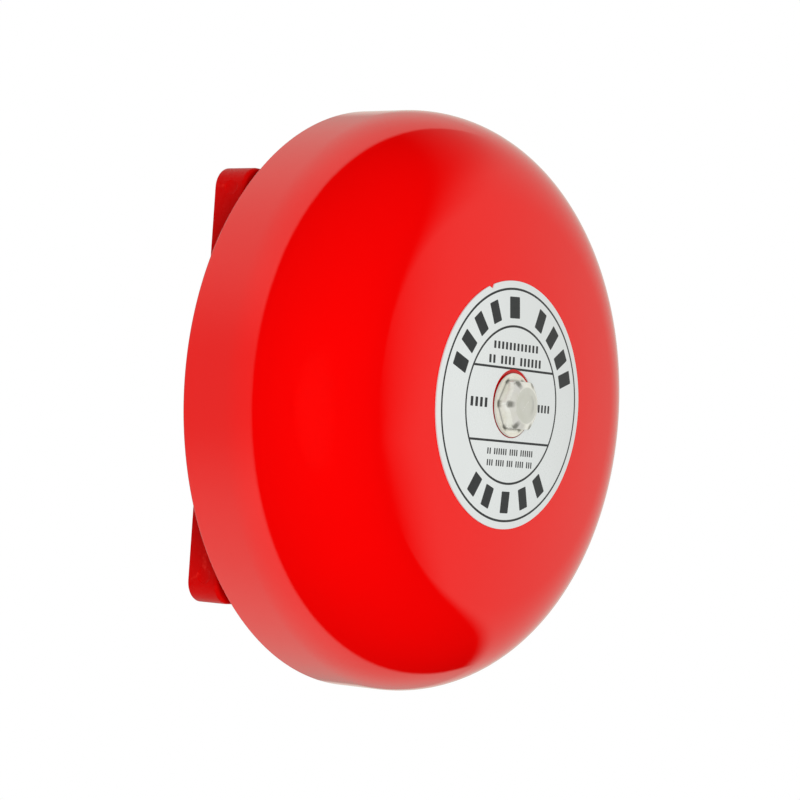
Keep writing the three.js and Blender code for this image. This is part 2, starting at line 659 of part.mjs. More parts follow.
// A hardened head with a domed nose and a socket for the rod.
function strikerHead() {
  const { left, right, radius } = HEAD;
  const noseDepth = 1.6;
  const body = alongStriker(turned([
    [0, left],
    [radius - 0.5, left],
    [radius, left + 0.5],
    [radius, right - noseDepth],
    [radius * 0.86, right - noseDepth * 0.55],
    [radius * 0.5, right - noseDepth * 0.14],
    [0, right],
  ]));
  return cut(body, lyingRod(ROD_RADIUS + 0.1, left - 1, left + 2.7));
}

const guideBush = (guide) =>
  alongStriker(ring(BUSH_RADIUS, ROD_RADIUS + 0.09, guide.left, guide.right));

// The rubber ring that stops the shuttle against the inner guide.
const stopBuffer = () =>
  alongStriker(ring(4.1, ROD_RADIUS + 0.4, INNER_GUIDE.left - 0.95, INNER_GUIDE.left - GAP));

function strikerSpring() {
  const { left, right, radius, wire, turns } = SPRING;
  const perTurn = 10;
  const count = turns * perTurn;
  const points = Array.from({ length: count + 1 }, (_, i) => {
    const angle = (i / perTurn) * 2 * Math.PI;
    const x = left + wire + ((right - left - 2 * wire) * i) / count;
    return [x, radius * Math.cos(angle), STRIKE_HEIGHT + radius * Math.sin(angle)];
  });
  return tube(points, wire, 5, count);
}

// ---- Board, terminal block and leads ----------------------------------------------------------------

function circuitBoard() {
  const { left, right, half, bottom, top } = BOARD;
  return cut(
    slab(rectangle(left, right, -half, half, 2), bottom, top, 2),
    ...BOARD_POST_PLACES.map(([x, y]) => rod(1.5, 15, 25, x, y, 8)),
  );
}

const TERMINAL = { left: -37.2, right: -28.2, half: 5.3, top: 30, pitch: 5.1, screwX: -32 };

// A two-way terminal block: wire mouths on its left side and screw wells on top.
function terminalBlock() {
  const { left, right, half, top, pitch, screwX } = TERMINAL;
  const bottom = BOARD.top + GAP;
  const outline = new THREE.Shape();
  outline.moveTo(left, bottom).lineTo(right, bottom).lineTo(right, top - 3).lineTo(right - 3, top);
  outline.lineTo(left + 1.5, top).lineTo(left, top - 2).closePath();
  const body = slab(outline, -half, half).rotateX(Math.PI / 2);
  const ways = [pitch / 2, -pitch / 2];
  return cut(
    body,
    ...ways.map((y) => box(left - 1, screwX + 1.5, y - 1.7, y + 1.7, bottom + 2, bottom + 5.4)),
    ...ways.map((y) => rod(1.9, bottom + 4, top + 1, screwX, y, 12)),
  );
}

const terminalScrew = (side) => {
  const y = (side * TERMINAL.pitch) / 2;
  const top = TERMINAL.top - 1.2;
  const body = rod(1.7, BOARD.top + 5.8, top, TERMINAL.screwX, y, 12);
  return cut(body, box(TERMINAL.screwX - 1.3, TERMINAL.screwX + 1.3, y - 0.3, y + 0.3, top - 0.7, top + 1));
};

function capacitor() {
  const bottom = BOARD.top + GAP;
  const radius = 4;
  const height = 11.5;
  return turned([
    [0, bottom],
    [radius - 0.3, bottom],
    [radius, bottom + 0.3],
    [radius, bottom + 1.2],
    [radius - 0.35, bottom + 1.6],
    [radius, bottom + 2],
    [radius, bottom + height - 0.4],
    [radius - 0.5, bottom + height],
    [0, bottom + height],
  ]).translate(-19, 10.5, 0);
}

// A diode that lies on the board, with its wire ends bent down into it.
function diode() {
  const x = -21;
  const y = -9;
  const lift = BOARD.top + GAP;
  const axis = lift + 1.7;
  const body = new THREE.CylinderGeometry(1.4, 1.4, 5.2, 12).translate(x, y, axis);
  const legs = [1, -1].flatMap((s) => [
    new THREE.CylinderGeometry(0.4, 0.4, 2, 8).translate(x, y + s * 3.5, axis),
    rod(0.4, lift, axis + 0.4, x, y + s * 4.4, 8),
  ]);
  return join(body, ...legs);
}

const LEAD_RADIUS = 0.7;
const padHeight = BOARD.top + GAP;

// The two motor leads, from a tab on the motor, past the post, to the board.
const leadPositive = () =>
  tube([
    [MOTOR_X - TAB_OFFSET - 1.3, 1.6, CAP_TOP + 1.4],
    [MOTOR_X - TAB_OFFSET - 2.6, 4.4, CAP_TOP + 2.6],
    [12.2, 8.4, 48.8],
    [6.4, 10.6, 43],
    [1, 11.4, 35],
    [-5, 11, 28.6],
    [-10.4, 8.2, 25.4],
    [-13.2, 5.6, 23.2],
    [-13.6, 5, padHeight],
  ], LEAD_RADIUS, 6, 24);

const leadNegative = () =>
  tube([
    [MOTOR_X + TAB_OFFSET + 1.3, -1.6, CAP_TOP + 1.4],
    [MOTOR_X + TAB_OFFSET + 0.6, -4.8, CAP_TOP + 3.1],
    [MOTOR_X + 2, -8.4, CAP_TOP + 3.2],
    [18.4, -10.4, CAP_TOP + 2],
    [10.6, -11.4, 45],
    [4.2, -11.6, 38],
    [-2, -11.4, 30.6],
    [-9.6, -8.6, 25.4],
    [-13.2, -5.6, 23.2],
    [-13.6, -5, padHeight],
  ], LEAD_RADIUS, 6, 30);

// ---- Assembly -----------------------------------------------------------------------------------

const bell = new THREE.Group();
bell.rotation.x = Math.PI / 2; // the bell's own z becomes -Y, and its y becomes +Z

function add(name, geometry, material) {
  const mesh = new THREE.Mesh(geometry, material);
  mesh.name = name;
  bell.add(mesh);
}

const M = MATERIALS;

add("mounting_base", mountingBase(), M.redCast);
add("wall_seal", wallSeal(), M.rubber);
add("cable_grommet", cableGrommet(), M.rubber);
add("gong_post", gongPost(), M.zinc);
add("post_washer", ring(POST_RADIUS + 1, BOLT_THREAD_RADIUS + 0.3, postTop + GAP, postTop + GAP + POST_WASHER), M.rubber);
add("gong", gong(), M.redGloss);
add("label", label(), M.label);
add("gong_bolt", gongBolt(), M.zinc);

add("chassis_gasket", chassisGasket(), M.rubber);
add("mechanism_chassis", mechanismChassis(), M.nylonBlack);
EAR_PLACES.forEach(([x, y], i) =>
  add(`chassis_screw_${i + 1}`, panScrew(x, y, CHASSIS_FLOOR.top, 8.5, 1.5, 3.1, 2), M.zinc));

add("motor_plate", motorPlate(), M.zinc);
PLATE_SCREW_PLACES.forEach(([x, y], i) =>
  add(`plate_screw_${i + 1}`, panScrew(x, y, PLATE_TOP, 8, 1.2, 2.6, 1.7), M.zinc));
add("motor_can", motorCan(), M.steel);
add("motor_end_cap", motorEndCap(), M.nylonWhite);
add("motor_magnet_upper", motorMagnet(1), M.ferrite);
add("motor_magnet_lower", motorMagnet(-1), M.ferrite);
add("motor_bush_output", outputBush(), M.bronze);
add("motor_bush_rear", rearBush(), M.bronze);
add("motor_brush_left", motorBrush(-1), M.bronze);
add("motor_brush_right", motorBrush(1), M.bronze);
add("motor_tab_left", motorTab(-1), M.brass);
add("motor_tab_right", motorTab(1), M.brass);
add("motor_clamp", motorClamp(), M.zinc);
[1, -1].forEach((side, i) =>
  add(
    `clamp_screw_${i + 1}`,
    panScrew(MOTOR_X, side * CLAMP.screwY, PLATE_TOP + GAP + CLAMP.thickness, 3.4, 1.2, 2.4, 1.6),
    M.zinc,
  ));

add("motor_shaft", motorShaft(), M.steel);
add("armature_core", armatureCore(), M.steel);
[0, 1, 2].forEach((i) => add(`armature_coil_${i + 1}`, armatureCoil(i), M.copper));
add("commutator", commutator(), M.copper);
add("snail_cam", snailCam(), M.nylonWhite);

add("striker_shuttle", strikerShuttle(), M.nylonWhite);
add("cam_follower_pin", followerPin(), M.steel);
add("striker_rod", strikerRod(), M.steel);
add("spring_collar", springCollar(), M.brass);
add("striker_head", strikerHead(), M.steel);
add("striker_bush_inner", guideBush(INNER_GUIDE), M.bronze);
add("striker_bush_outer", guideBush(OUTER_GUIDE), M.bronze);
add("stop_buffer", stopBuffer(), M.rubber);
add("striker_spring", strikerSpring(), M.steel);

add("circuit_board", circuitBoard(), M.board);
[BOARD_POST_PLACES[0], BOARD_POST_PLACES[3]].forEach(([x, y], i) =>
  add(`board_screw_${i + 1}`, panScrew(x, y, BOARD.top, 5.5, 1, 2.2, 1.5), M.zinc));
add("terminal_block", terminalBlock(), M.terminal);
add("terminal_screw_upper", terminalScrew(1), M.brass);
add("terminal_screw_lower", terminalScrew(-1), M.brass);
add("capacitor", capacitor(), M.sleeve);
add("diode", diode(), M.sleeve);
add("lead_positive", leadPositive(), M.leadRed);
add("lead_negative", leadNegative(), M.leadBlack);

const part = new THREE.Group();
part.add(bell);

export default part;
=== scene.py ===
"""The looks of a wall-mounted motor alarm bell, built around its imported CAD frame.

Pieces are drawn in the bell's own frame, in millimetres: x to the right, y up, d out of the wall.
In the row frame that is (x, -d, y), in metres. Sizes and places come from the CAD nodes' boxes.
"""
import json
import math
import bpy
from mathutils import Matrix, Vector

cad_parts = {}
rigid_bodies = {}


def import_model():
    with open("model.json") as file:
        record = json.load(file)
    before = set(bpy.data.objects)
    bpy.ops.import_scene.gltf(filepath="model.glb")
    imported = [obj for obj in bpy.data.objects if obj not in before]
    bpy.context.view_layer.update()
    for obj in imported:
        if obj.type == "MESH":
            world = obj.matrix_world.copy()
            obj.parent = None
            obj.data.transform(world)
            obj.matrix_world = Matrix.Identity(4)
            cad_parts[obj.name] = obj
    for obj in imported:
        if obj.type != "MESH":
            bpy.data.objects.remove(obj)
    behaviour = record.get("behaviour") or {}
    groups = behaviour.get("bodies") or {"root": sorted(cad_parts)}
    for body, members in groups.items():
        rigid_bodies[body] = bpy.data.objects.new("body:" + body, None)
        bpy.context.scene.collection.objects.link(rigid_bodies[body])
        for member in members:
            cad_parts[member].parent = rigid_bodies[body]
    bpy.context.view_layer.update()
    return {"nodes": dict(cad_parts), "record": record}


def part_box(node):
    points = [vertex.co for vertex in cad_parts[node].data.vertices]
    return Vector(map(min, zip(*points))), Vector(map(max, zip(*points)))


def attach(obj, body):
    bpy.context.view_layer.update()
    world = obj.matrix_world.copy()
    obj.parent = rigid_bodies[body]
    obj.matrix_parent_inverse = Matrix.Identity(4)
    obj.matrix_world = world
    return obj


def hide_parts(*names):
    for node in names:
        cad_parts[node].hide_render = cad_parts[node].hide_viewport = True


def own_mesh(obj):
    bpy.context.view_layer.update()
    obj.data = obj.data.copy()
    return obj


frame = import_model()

from types import SimpleNamespace

import bmesh
import bpy
from mathutils import Matrix, Vector
from mathutils.geometry import delaunay_2d_cdt, tessellate_polygon

MM = 0.001
TAU = 2 * math.pi
BODY_OF = {n: b for b, ns in frame["record"]["behaviour"]["bodies"].items() for n in ns}
SLOT_OF = {s["node"]: s["material_slot"] for s in frame["record"]["subparts"]}


def place(node):
    """A CAD node's box in the bell's own frame, in millimetres, with its middle as x and y."""
    low, high = (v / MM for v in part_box(node))
    return SimpleNamespace(
        x0=low.x, x1=high.x, y0=low.z, y1=high.z, d0=-high.y, d1=-low.y,
        x=(low.x + high.x) / 2, y=(low.z + high.z) / 2, d=-(low.y + high.y) / 2,
    )


# ---- Camera ----

gong = place("gong")
RIM = gong.d0
APEX = gong.d1
GONG_RADIUS = gong.x1


LENS = 131.05  # on a sensor 36 mm wide
EYE = (-605.37, -463.96 - RIM, -22.44)  # the camera's place, in the row frame in millimetres


def make_camera():
    back = Vector((-0.79933, -0.60016, -0.02967))
    right = Vector((0.59747, -0.79908, 0.06712))
    up = back.cross(right)
    data = bpy.data.cameras.new("camera")
    data.lens, data.sensor_width = LENS, 36
    data.clip_start, data.clip_end = 0.05, 50
    camera = bpy.data.objects.new("camera", data)
    bpy.context.scene.collection.objects.link(camera)
    turn = Matrix((right, up, back)).transposed().to_4x4()
    camera.matrix_world = Matrix.Translation(Vector(EYE) * MM) @ turn
    bpy.context.scene.camera = camera


# ---- Node trees ----


class Tree:
    """A short hand for a node tree: each call adds a node and returns the output to link on."""

    def __init__(self, tree):
        self.tree = tree
        self.tree.nodes.clear()

    def node(self, kind, inputs=(), out=0, **settings):
        made = self.tree.nodes.new(kind)
        for key, value in settings.items():
            setattr(made, key, value)
        for key, value in dict(inputs).items():
            if isinstance(value, bpy.types.NodeSocket):
                self.tree.links.new(value, made.inputs[key])
            else:
                made.inputs[key].default_value = value
        return made.outputs[out]

    def math(self, operation, a, b=0.0, clamp=False):
        return self.node("ShaderNodeMath", {0: a, 1: b}, operation=operation, use_clamp=clamp)

    def times(self, a, b, clamp=False):
        return self.math("MULTIPLY", a, b, clamp)

    def plus(self, a, b):
        return self.math("ADD", a, b)

    def from_axis(self, x, z):
        """How far a point lies from the bell's middle line."""
        return self.math("SQRT", self.plus(self.times(x, x), self.times(z, z)))

    def ramp(self, value, low, high, to_low=0.0, to_high=1.0, smooth=False):
        kind = "SMOOTHSTEP" if smooth else "LINEAR"
        sockets = {"Value": value, 1: low, 2: high, 3: to_low, 4: to_high}
        return self.node("ShaderNodeMapRange", sockets, interpolation_type=kind)

    def noise(self, where, scale, detail, rough):
        sockets = {"Vector": where, "Scale": scale, "Detail": detail, "Roughness": rough}
        return self.node("ShaderNodeTexNoise", sockets)

    def mix(self, factor, a, b):
        made = self.tree.nodes.new("ShaderNodeMix")
        made.data_type = "RGBA"
        for socket, value in ((made.inputs[0], factor), (made.inputs[6], a), (made.inputs[7], b)):
            if isinstance(value, bpy.types.NodeSocket):
                self.tree.links.new(value, socket)
            else:
                socket.default_value = value
        return made.outputs[2]


def rgba(color):
    return (*color, 1.0)


# ---- World: what the enamel mirrors, and a soft even light ----


SOFT_BOX = 0.78  # mirrored brightness of the soft box
DARK_ROOM = 0.004  # and of the room in front
AMBIENT = 0.485  # even light from all round
REAR_LIGHT = 0.18  # and more of it from behind


def make_world():
    world = bpy.data.worlds.new("studio")
    bpy.context.scene.world = world
    world.use_nodes = True
    world.cycles.sampling_method = "NONE"
    t = Tree(world.node_tree)
    way = t.node("ShaderNodeTexCoord", out=0)
    x, y, z = t.node("ShaderNodeSeparateXYZ", {0: way}).node.outputs
    # Mirrored: a surround behind the bell that brightens upwards and downwards, a tall soft box on the right
    # that narrows towards the floor, and a dark room in front.
    steep = t.ramp(t.math("ABSOLUTE", z), 0.15, 0.7, 0.72, 1.47, smooth=True)
    sideways = t.ramp(x, -0.1, 0.7, 1.0, 0.55, smooth=True)
    behind = t.times(t.ramp(y, 0.13, 0.19, smooth=True), t.times(steep, sideways))
    below = t.math("MAXIMUM", t.math("SUBTRACT", -0.03, z), 0.0)
    middle = t.plus(0.625, t.times(0.5, below))
    spread = t.plus(0.05, t.times(0.25, t.math("MAXIMUM", z, 0.0)))
    side = t.ramp(x, t.math("SUBTRACT", middle, spread), t.plus(middle, spread), smooth=True)
    soft_box = t.times(side, t.ramp(z, 0.5, 0.75, SOFT_BOX, SOFT_BOX * 0.6, smooth=True))
    mirrored = t.math("MAXIMUM", t.math("MAXIMUM", behind, soft_box), DARK_ROOM)
    steepness = t.plus(0.45, t.times(t.math("ABSOLUTE", z), 1.9))
    rear = t.times(t.math("MAXIMUM", y, 0.0), t.times(steepness, REAR_LIGHT))
    diffuse = t.plus(rear, AMBIENT)
    path = t.node("ShaderNodeLightPath").node.outputs
    seen = t.node("ShaderNodeMix", {0: path["Is Glossy Ray"], 2: diffuse, 3: mirrored})
    seen = t.node("ShaderNodeMix", {0: path["Is Camera Ray"], 2: seen, 3: 1.0})
    tint = t.mix(path["Is Glossy Ray"], rgba((1, 1, 1)), rgba((1, 1, 0.9)))
    tint = t.mix(path["Is Camera Ray"], tint, rgba((1, 1, 1)))
    light = t.node("ShaderNodeBackground", {"Color": tint, "Strength": seen})
    output = t.tree.nodes.new("ShaderNodeOutputWorld")
    t.tree.links.new(light, output.inputs["Surface"])


KEY_DISTANCE = 0.7  # of the soft box from the gong's front, in metres
KEY_SIZE = 0.5
KEY_WATTS = 3.0
KEY_AZIMUTH = math.radians(-40)
KEY_HEIGHT = math.radians(-5)


def make_key_light():
    """A soft box ahead and to the left, which lights the bell but isn't mirrored in it."""
    data = bpy.data.lights.new("key", "AREA")
    data.shape, data.size, data.energy = "DISK", KEY_SIZE, KEY_WATTS
    key = bpy.data.objects.new("key", data)
    bpy.context.scene.collection.objects.link(key)
    level = math.cos(KEY_HEIGHT)
    way = Vector((math.sin(KEY_AZIMUTH) * level, -math.cos(KEY_AZIMUTH) * level, math.sin(KEY_HEIGHT)))
    key.location = way * KEY_DISTANCE + Vector((0, -APEX * MM, 0))
    key.rotation_euler = way.to_track_quat("Z", "Y").to_euler()
    key.visible_glossy = False
    key.visible_camera = False


# ---- Materials ----


MATERIALS = {}


def surface(
    name, color, other, rough, grain, blotch, bump=0.02, metal=0.0, edge_wear_and_highlight=None, edge_wear_and_highlight_amount=0.25,
    specular=0.5, ior=1.5, stretch=(1, 1, 1), hollow_shade=None, pattern=None,
):
    """A finish whose colour, roughness and relief all vary over the surface.

    color and other are its two tones, rough its lowest and highest roughness, grain and blotch the
    fineness of the relief and of the tones per metre, worn the colour of rubbed edges, which on some finishes
    is a painted highlight, grime the painted shade put in hollows, and pattern a function that changes the
    tone and the height.
    """
    m = bpy.data.materials.new(name)
    m.use_nodes = True
    m.diffuse_color = rgba(color)
    t = Tree(m.node_tree)
    where = t.node("ShaderNodeTexCoord", out=3)
    stretched = t.node("ShaderNodeMapping", {"Vector": where, "Scale": stretch})
    blotches = t.noise(where, blotch, 4.0, 0.55)
    fine = t.noise(stretched, grain, 4.0, 0.6)
    tone = t.ramp(blotches, 0.35, 0.65)
    shown = t.mix(tone, rgba(color), rgba(other))
    height = fine
    if pattern:
        shown, height = pattern(t, where, shown, height)
    rougher = t.plus(t.times(fine, 0.5), t.times(blotches, 0.5))
    roughness = t.ramp(rougher, 0.35, 0.65, *rough)
    edge = t.node("ShaderNodeNewGeometry").node.outputs["Pointiness"]
    # Painted shade: where the pointiness is low, in hollows, the colour darkens.
    if hollow_shade:
        shown = t.mix(t.ramp(edge, 0.485, 0.42), shown, rgba(hollow_shade))
    # Lighter edges where the pointiness is high: rubbing on most finishes, and a painted highlight on some.
    if edge_wear_and_highlight:
        rubbed_and_lit_edges = t.times(t.ramp(edge, 0.515, 0.60), t.ramp(fine, 0.42, 0.60))
        shown = t.mix(t.times(rubbed_and_lit_edges, edge_wear_and_highlight_amount, clamp=True), shown, rgba(edge_wear_and_highlight))
    relief = t.node("ShaderNodeBump", {"Strength": 1.0, "Distance": bump * MM, "Height": height})
    sockets = {
        "Base Color": shown, "Metallic": metal, "Roughness": roughness, "IOR": ior,
        "Specular IOR Level": specular, "Normal": relief,
    }
    shader = t.node("ShaderNodeBsdfPrincipled", sockets)
    output = t.tree.nodes.new("ShaderNodeOutputMaterial")
    t.tree.links.new(shader, output.inputs["Surface"])
    MATERIALS[name] = m
    return m


RED = (0.95, 0.0004, 0.0003)
DARK_RED = (0.71, 0.0003, 0.0002)


def gong_specks_and_seat_shade(t, where, shown, height):
    """Sparse paler specks in the enamel, a faint ripple from pressing, and painted shade round the bolt's
    seat.
    """
    x, _, z = t.node("ShaderNodeSeparateXYZ", {0: where}).node.outputs
    radius = t.from_axis(x, z)
    # Painted shade: a contact shadow round the bolt's seat, the enamel darkened to a deep red near the
    # middle.
    seat = t.times(t.ramp(radius, 0.0094, 0.0084), 0.65)
    shown = t.mix(seat, shown, rgba((0.28, 0.0, 0.0)))
    cells = t.node("ShaderNodeTexVoronoi", {"Vector": where, "Scale": 75.0, "Randomness": 1.0})
    keep = t.node("ShaderNodeTexVoronoi", {"Vector": where, "Scale": 75.0, "Randomness": 1.0}, out=1)
    rare = t.ramp(t.node("ShaderNodeSeparateXYZ", {0: keep}), 0.80, 0.82)
    speck = t.times(t.ramp(cells, 0.045, 0.02), rare)
    shown = t.mix(t.times(speck, 0.35), shown, rgba((0.95, 0.16, 0.12)))
    ripple = t.noise(where, 28.0, 1.0, 0.4)
    height = t.plus(t.times(ripple, 6.0), height)
    return shown, t.plus(height, t.times(speck, 1.5))


def bolt_tone_and_shade(t, where, shown, height):
    """Duller plating in the dish on the bolt's head and on its flange, and painted shade at its corners."""
    x, y, z = t.node("ShaderNodeSeparateXYZ", {0: where}).node.outputs
    apex = t.plus(y, place("gong_bolt").d1 * MM)
    radius = t.from_axis(x, z)
    top = t.times(t.ramp(radius, 0.0048, 0.0044), t.ramp(apex, 0.0008, 0.0004))
    shown = t.mix(t.times(top, 0.66), shown, rgba((0.52, 0.53, 0.48)))
    flange = t.times(t.ramp(radius, 0.0068, 0.0071), t.ramp(apex, 0.0034, 0.0038))
    shown = t.mix(t.times(flange, 0.45), shown, rgba((0.84, 0.80, 0.66)))
    # Painted shade: dark bands at the hex's corners, on the chamfer and where the flats meet the flange.
    corner = t.math("COSINE", t.times(t.math("ARCTAN2", z, x), 6.0))
    upper = t.times(t.ramp(radius, 0.0047, 0.0058), t.ramp(apex, 0.0017, 0.0012))
    lower = t.times(t.ramp(radius, 0.0076, 0.0070), t.ramp(apex, 0.0029, 0.0038))
    band = t.plus(upper, t.times(lower, t.ramp(radius, 0.0060, 0.0065)))
    corner_shade = t.times(band, t.ramp(corner, 0.45, 1.0, smooth=True))
    return t.mix(t.times(corner_shade, 0.8, clamp=True), shown, rgba((0.17, 0.17, 0.14))), height


surface(
    "gong_enamel", RED, (0.93, 0.0004, 0.0003), (0.045, 0.075), grain=420, bump=0.004, blotch=22,
    ior=1.4, pattern=gong_specks_and_seat_shade,
)
# The base's lighter edge colour is partly a painted highlight along its rounded front edge.
surface(
    "base_enamel", DARK_RED, (0.66, 0.0003, 0.0002), (0.22, 0.34), grain=700, bump=0.012, blotch=45,
    ior=1.35, specular=0.09, edge_wear_and_highlight=(0.95, 0.03, 0.02), edge_wear_and_highlight_amount=0.45,
)
surface(
    "zinc_plate", (0.93, 0.92, 0.85), (0.84, 0.83, 0.72), (0.15, 0.30), grain=1500, bump=0.0022,
    blotch=330, metal=0.66, edge_wear_and_highlight=(1.0, 0.99, 0.95), edge_wear_and_highlight_amount=0.8,
)
# The bolt's whitened edges are partly a painted highlight, and its darkened hollows are painted shade.
surface(
    "bolt_zinc", (1.0, 0.99, 0.93), (0.93, 0.92, 0.82), (0.12, 0.26), grain=1500, bump=0.0022,
    blotch=330, metal=0.30, edge_wear_and_highlight=(1.0, 1.0, 0.97), edge_wear_and_highlight_amount=1.2, hollow_shade=(0.10, 0.095, 0.07), pattern=bolt_tone_and_shade,
)
surface(
    "bright_steel", (0.72, 0.72, 0.71), (0.60, 0.60, 0.60), (0.18, 0.34), grain=2200, bump=0.003,
    blotch=180, metal=0.7, edge_wear_and_highlight=(0.8, 0.8, 0.8), edge_wear_and_highlight_amount=0.5,
)
surface(
    "brass_contact", (0.72, 0.56, 0.28), (0.62, 0.44, 0.19), (0.22, 0.40), grain=1800, bump=0.004,
    blotch=260, metal=0.75, edge_wear_and_highlight=(0.86, 0.74, 0.46), edge_wear_and_highlight_amount=0.5,
)
surface(
    "bronze", (0.55, 0.36, 0.18), (0.36, 0.22, 0.11), (0.34, 0.55), grain=5200, bump=0.012,
    blotch=420, metal=0.75, edge_wear_and_highlight=(0.75, 0.55, 0.32), edge_wear_and_highlight_amount=0.5,
)
surface(
    "copper", (0.60, 0.25, 0.12), (0.48, 0.17, 0.07), (0.22, 0.38), grain=2600, bump=0.02,
    blotch=500, metal=0.8, stretch=(1, 6, 1),
)
surface(
    "ferrite", (0.045, 0.045, 0.048), (0.075, 0.075, 0.078), (0.62, 0.85), grain=3200, bump=0.02,
    blotch=300, edge_wear_and_highlight=(0.2, 0.2, 0.2), edge_wear_and_highlight_amount=0.6,
)
surface(
    "label_film", (0.82, 0.85, 0.835), (0.80, 0.83, 0.815), (0.24, 0.34), grain=2600, bump=0.0015,
    blotch=40, ior=1.4,
)
surface(
    "label_ink", (0.026, 0.029, 0.031), (0.036, 0.039, 0.042), (0.36, 0.50), grain=3600, bump=0.002,
    blotch=700, ior=1.4,
)
surface(
    "rubber", (0.022, 0.022, 0.023), (0.035, 0.034, 0.033), (0.58, 0.82), grain=2600, bump=0.02,
    blotch=220, edge_wear_and_highlight=(0.09, 0.09, 0.09), edge_wear_and_highlight_amount=0.6,
)
surface(
    "black_nylon", (0.030, 0.031, 0.034), (0.042, 0.043, 0.046), (0.36, 0.55), grain=3400, bump=0.012,
    blotch=120, edge_wear_and_highlight=(0.12, 0.12, 0.12), edge_wear_and_highlight_amount=0.5,
)
surface(
    "white_nylon", (0.78, 0.75, 0.66), (0.70, 0.66, 0.56), (0.34, 0.50), grain=2600, bump=0.008,
    blotch=150, edge_wear_and_highlight=(0.85, 0.83, 0.76), edge_wear_and_highlight_amount=0.5,
)
surface(
    "board_laminate", (0.012, 0.115, 0.045), (0.018, 0.145, 0.060), (0.24, 0.36), grain=1500,
    bump=0.004, blotch=300, edge_wear_and_highlight=(0.35, 0.40, 0.20), edge_wear_and_highlight_amount=0.7,
)
surface(
    "terminal_plastic", (0.03, 0.20, 0.10), (0.04, 0.24, 0.12), (0.34, 0.50), grain=3000, bump=0.01,
    blotch=200, edge_wear_and_highlight=(0.10, 0.32, 0.18), edge_wear_and_highlight_amount=0.6,
)
surface(
    "component_sleeve", (0.020, 0.022, 0.034), (0.030, 0.032, 0.046), (0.20, 0.34), grain=2400,
    bump=0.004, blotch=300,
)
surface(
    "lead_red", (0.50, 0.012, 0.012), (0.42, 0.010, 0.010), (0.34, 0.50), grain=2600, bump=0.01, blotch=300,
)
surface(
    "lead_black", (0.022, 0.022, 0.024), (0.034, 0.034, 0.036), (0.34, 0.50), grain=2600, bump=0.01,
    blotch=300,
)


# ---- Mesh tools ----


def cleaned(mesh, *steps):
    """The mesh after each step has worked on its bmesh."""
    bm = bmesh.new()
    bm.from_mesh(mesh)
    for step in steps:
        step(bm)
    bm.to_mesh(mesh)
    bm.free()
    return mesh


def merge(distance):
    return lambda bm: bmesh.ops.remove_doubles(bm, verts=bm.verts, dist=distance)


def face_outwards(bm):
    bmesh.ops.recalc_face_normals(bm, faces=bm.faces)


def drop_loose(bm):
    bmesh.ops.delete(bm, geom=[v for v in bm.verts if not v.link_faces], context="VERTS")


def drop_slivers(bm):
    bmesh.ops.dissolve_degenerate(bm, edges=bm.edges, dist=1e-7)


def raw_mesh(vertices, faces, name="part"):
    """A mesh from points of the bell's own frame in millimetres."""
    mesh = bpy.data.meshes.new(name)
    mesh.from_pydata([(x * MM, -d * MM, y * MM) for x, y, d in vertices], [], faces)
    return mesh


def mesh_of(vertices, faces):
    """The same, with doubled points merged and its faces turned outwards."""
    return cleaned(raw_mesh(vertices, faces), merge(1e-7), face_outwards)


def object_of(mesh, name="part"):
    made = bpy.data.objects.new(name, mesh)
    bpy.context.scene.collection.objects.link(made)
    return made


def smooth(mesh, degrees):
    mesh.shade_smooth()
    mesh.set_sharp_from_angle(angle=math.radians(degrees))


def swept(rings, closed=False):
    """A skin over rings of points, all the same length. closed joins the last ring to the first."""
    count = len(rings[0])
    vertices = [p for ring in rings for p in ring]
    faces = []
    pairs = len(rings) if closed else len(rings) - 1
    for i in range(pairs):
        a, b = i * count, (i + 1) % len(rings) * count
        for j in range(count):
            k = (j + 1) % count
            faces.append((a + j, a + k, b + k, b + j))
    if not closed:
        faces.append(tuple(range(count))[::-1])
        faces.append(tuple(range(len(vertices) - count, len(vertices))))
    return vertices, faces


def turned(profile, sides, x=0.0, y=0.0, reach=None):
    """A profile of (radius, d) turned about an axis out of the wall. It closes on itself or ends on the axis.

    reach, a function of the radius, the angle and d, may change the radius as the profile goes round.
    """
    on_axis = profile[0][0] < 1e-6 and profile[-1][0] < 1e-6
    rings = []
    for radius, d in profile:
        ring = []
        for i in range(sides):
            angle = TAU * i / sides
            r = reach(radius, angle, d) if reach else radius
            ring.append((x + r * math.cos(angle), y + r * math.sin(angle), d))
        rings.append(ring)
    if not on_axis:
        return mesh_of(*swept(rings, closed=True))
    vertices = [(x, y, profile[0][1])] + [p for ring in rings[1:-1] for p in ring] + [(x, y, profile[-1][1])]
    faces = []
    for j in range(sides):
        k = (j + 1) % sides
        faces.append((0, 1 + j, 1 + k))
        for i in range(len(rings) - 3):
            a, b = 1 + i * sides, 1 + (i + 1) * sides
            faces.append((a + j, a + k, b + k, b + j))
        last = 1 + (len(rings) - 3) * sides
        faces.append((last + j, last + k, len(vertices) - 1))
    return mesh_of(vertices, faces)


def shift(x, y, d):
    """The move to a point of the bell's own frame."""
    return Matrix.Translation(Vector((x, -d, y)) * MM)


def lying(mesh, x, y, d):
    """A turned mesh laid over so that its axis runs along x, with what was d = 0 at the given point."""
    turn = Matrix.Rotation(math.pi / 2, 4, "Z")
    mesh.transform(shift(x, y, d) @ turn)
    return mesh


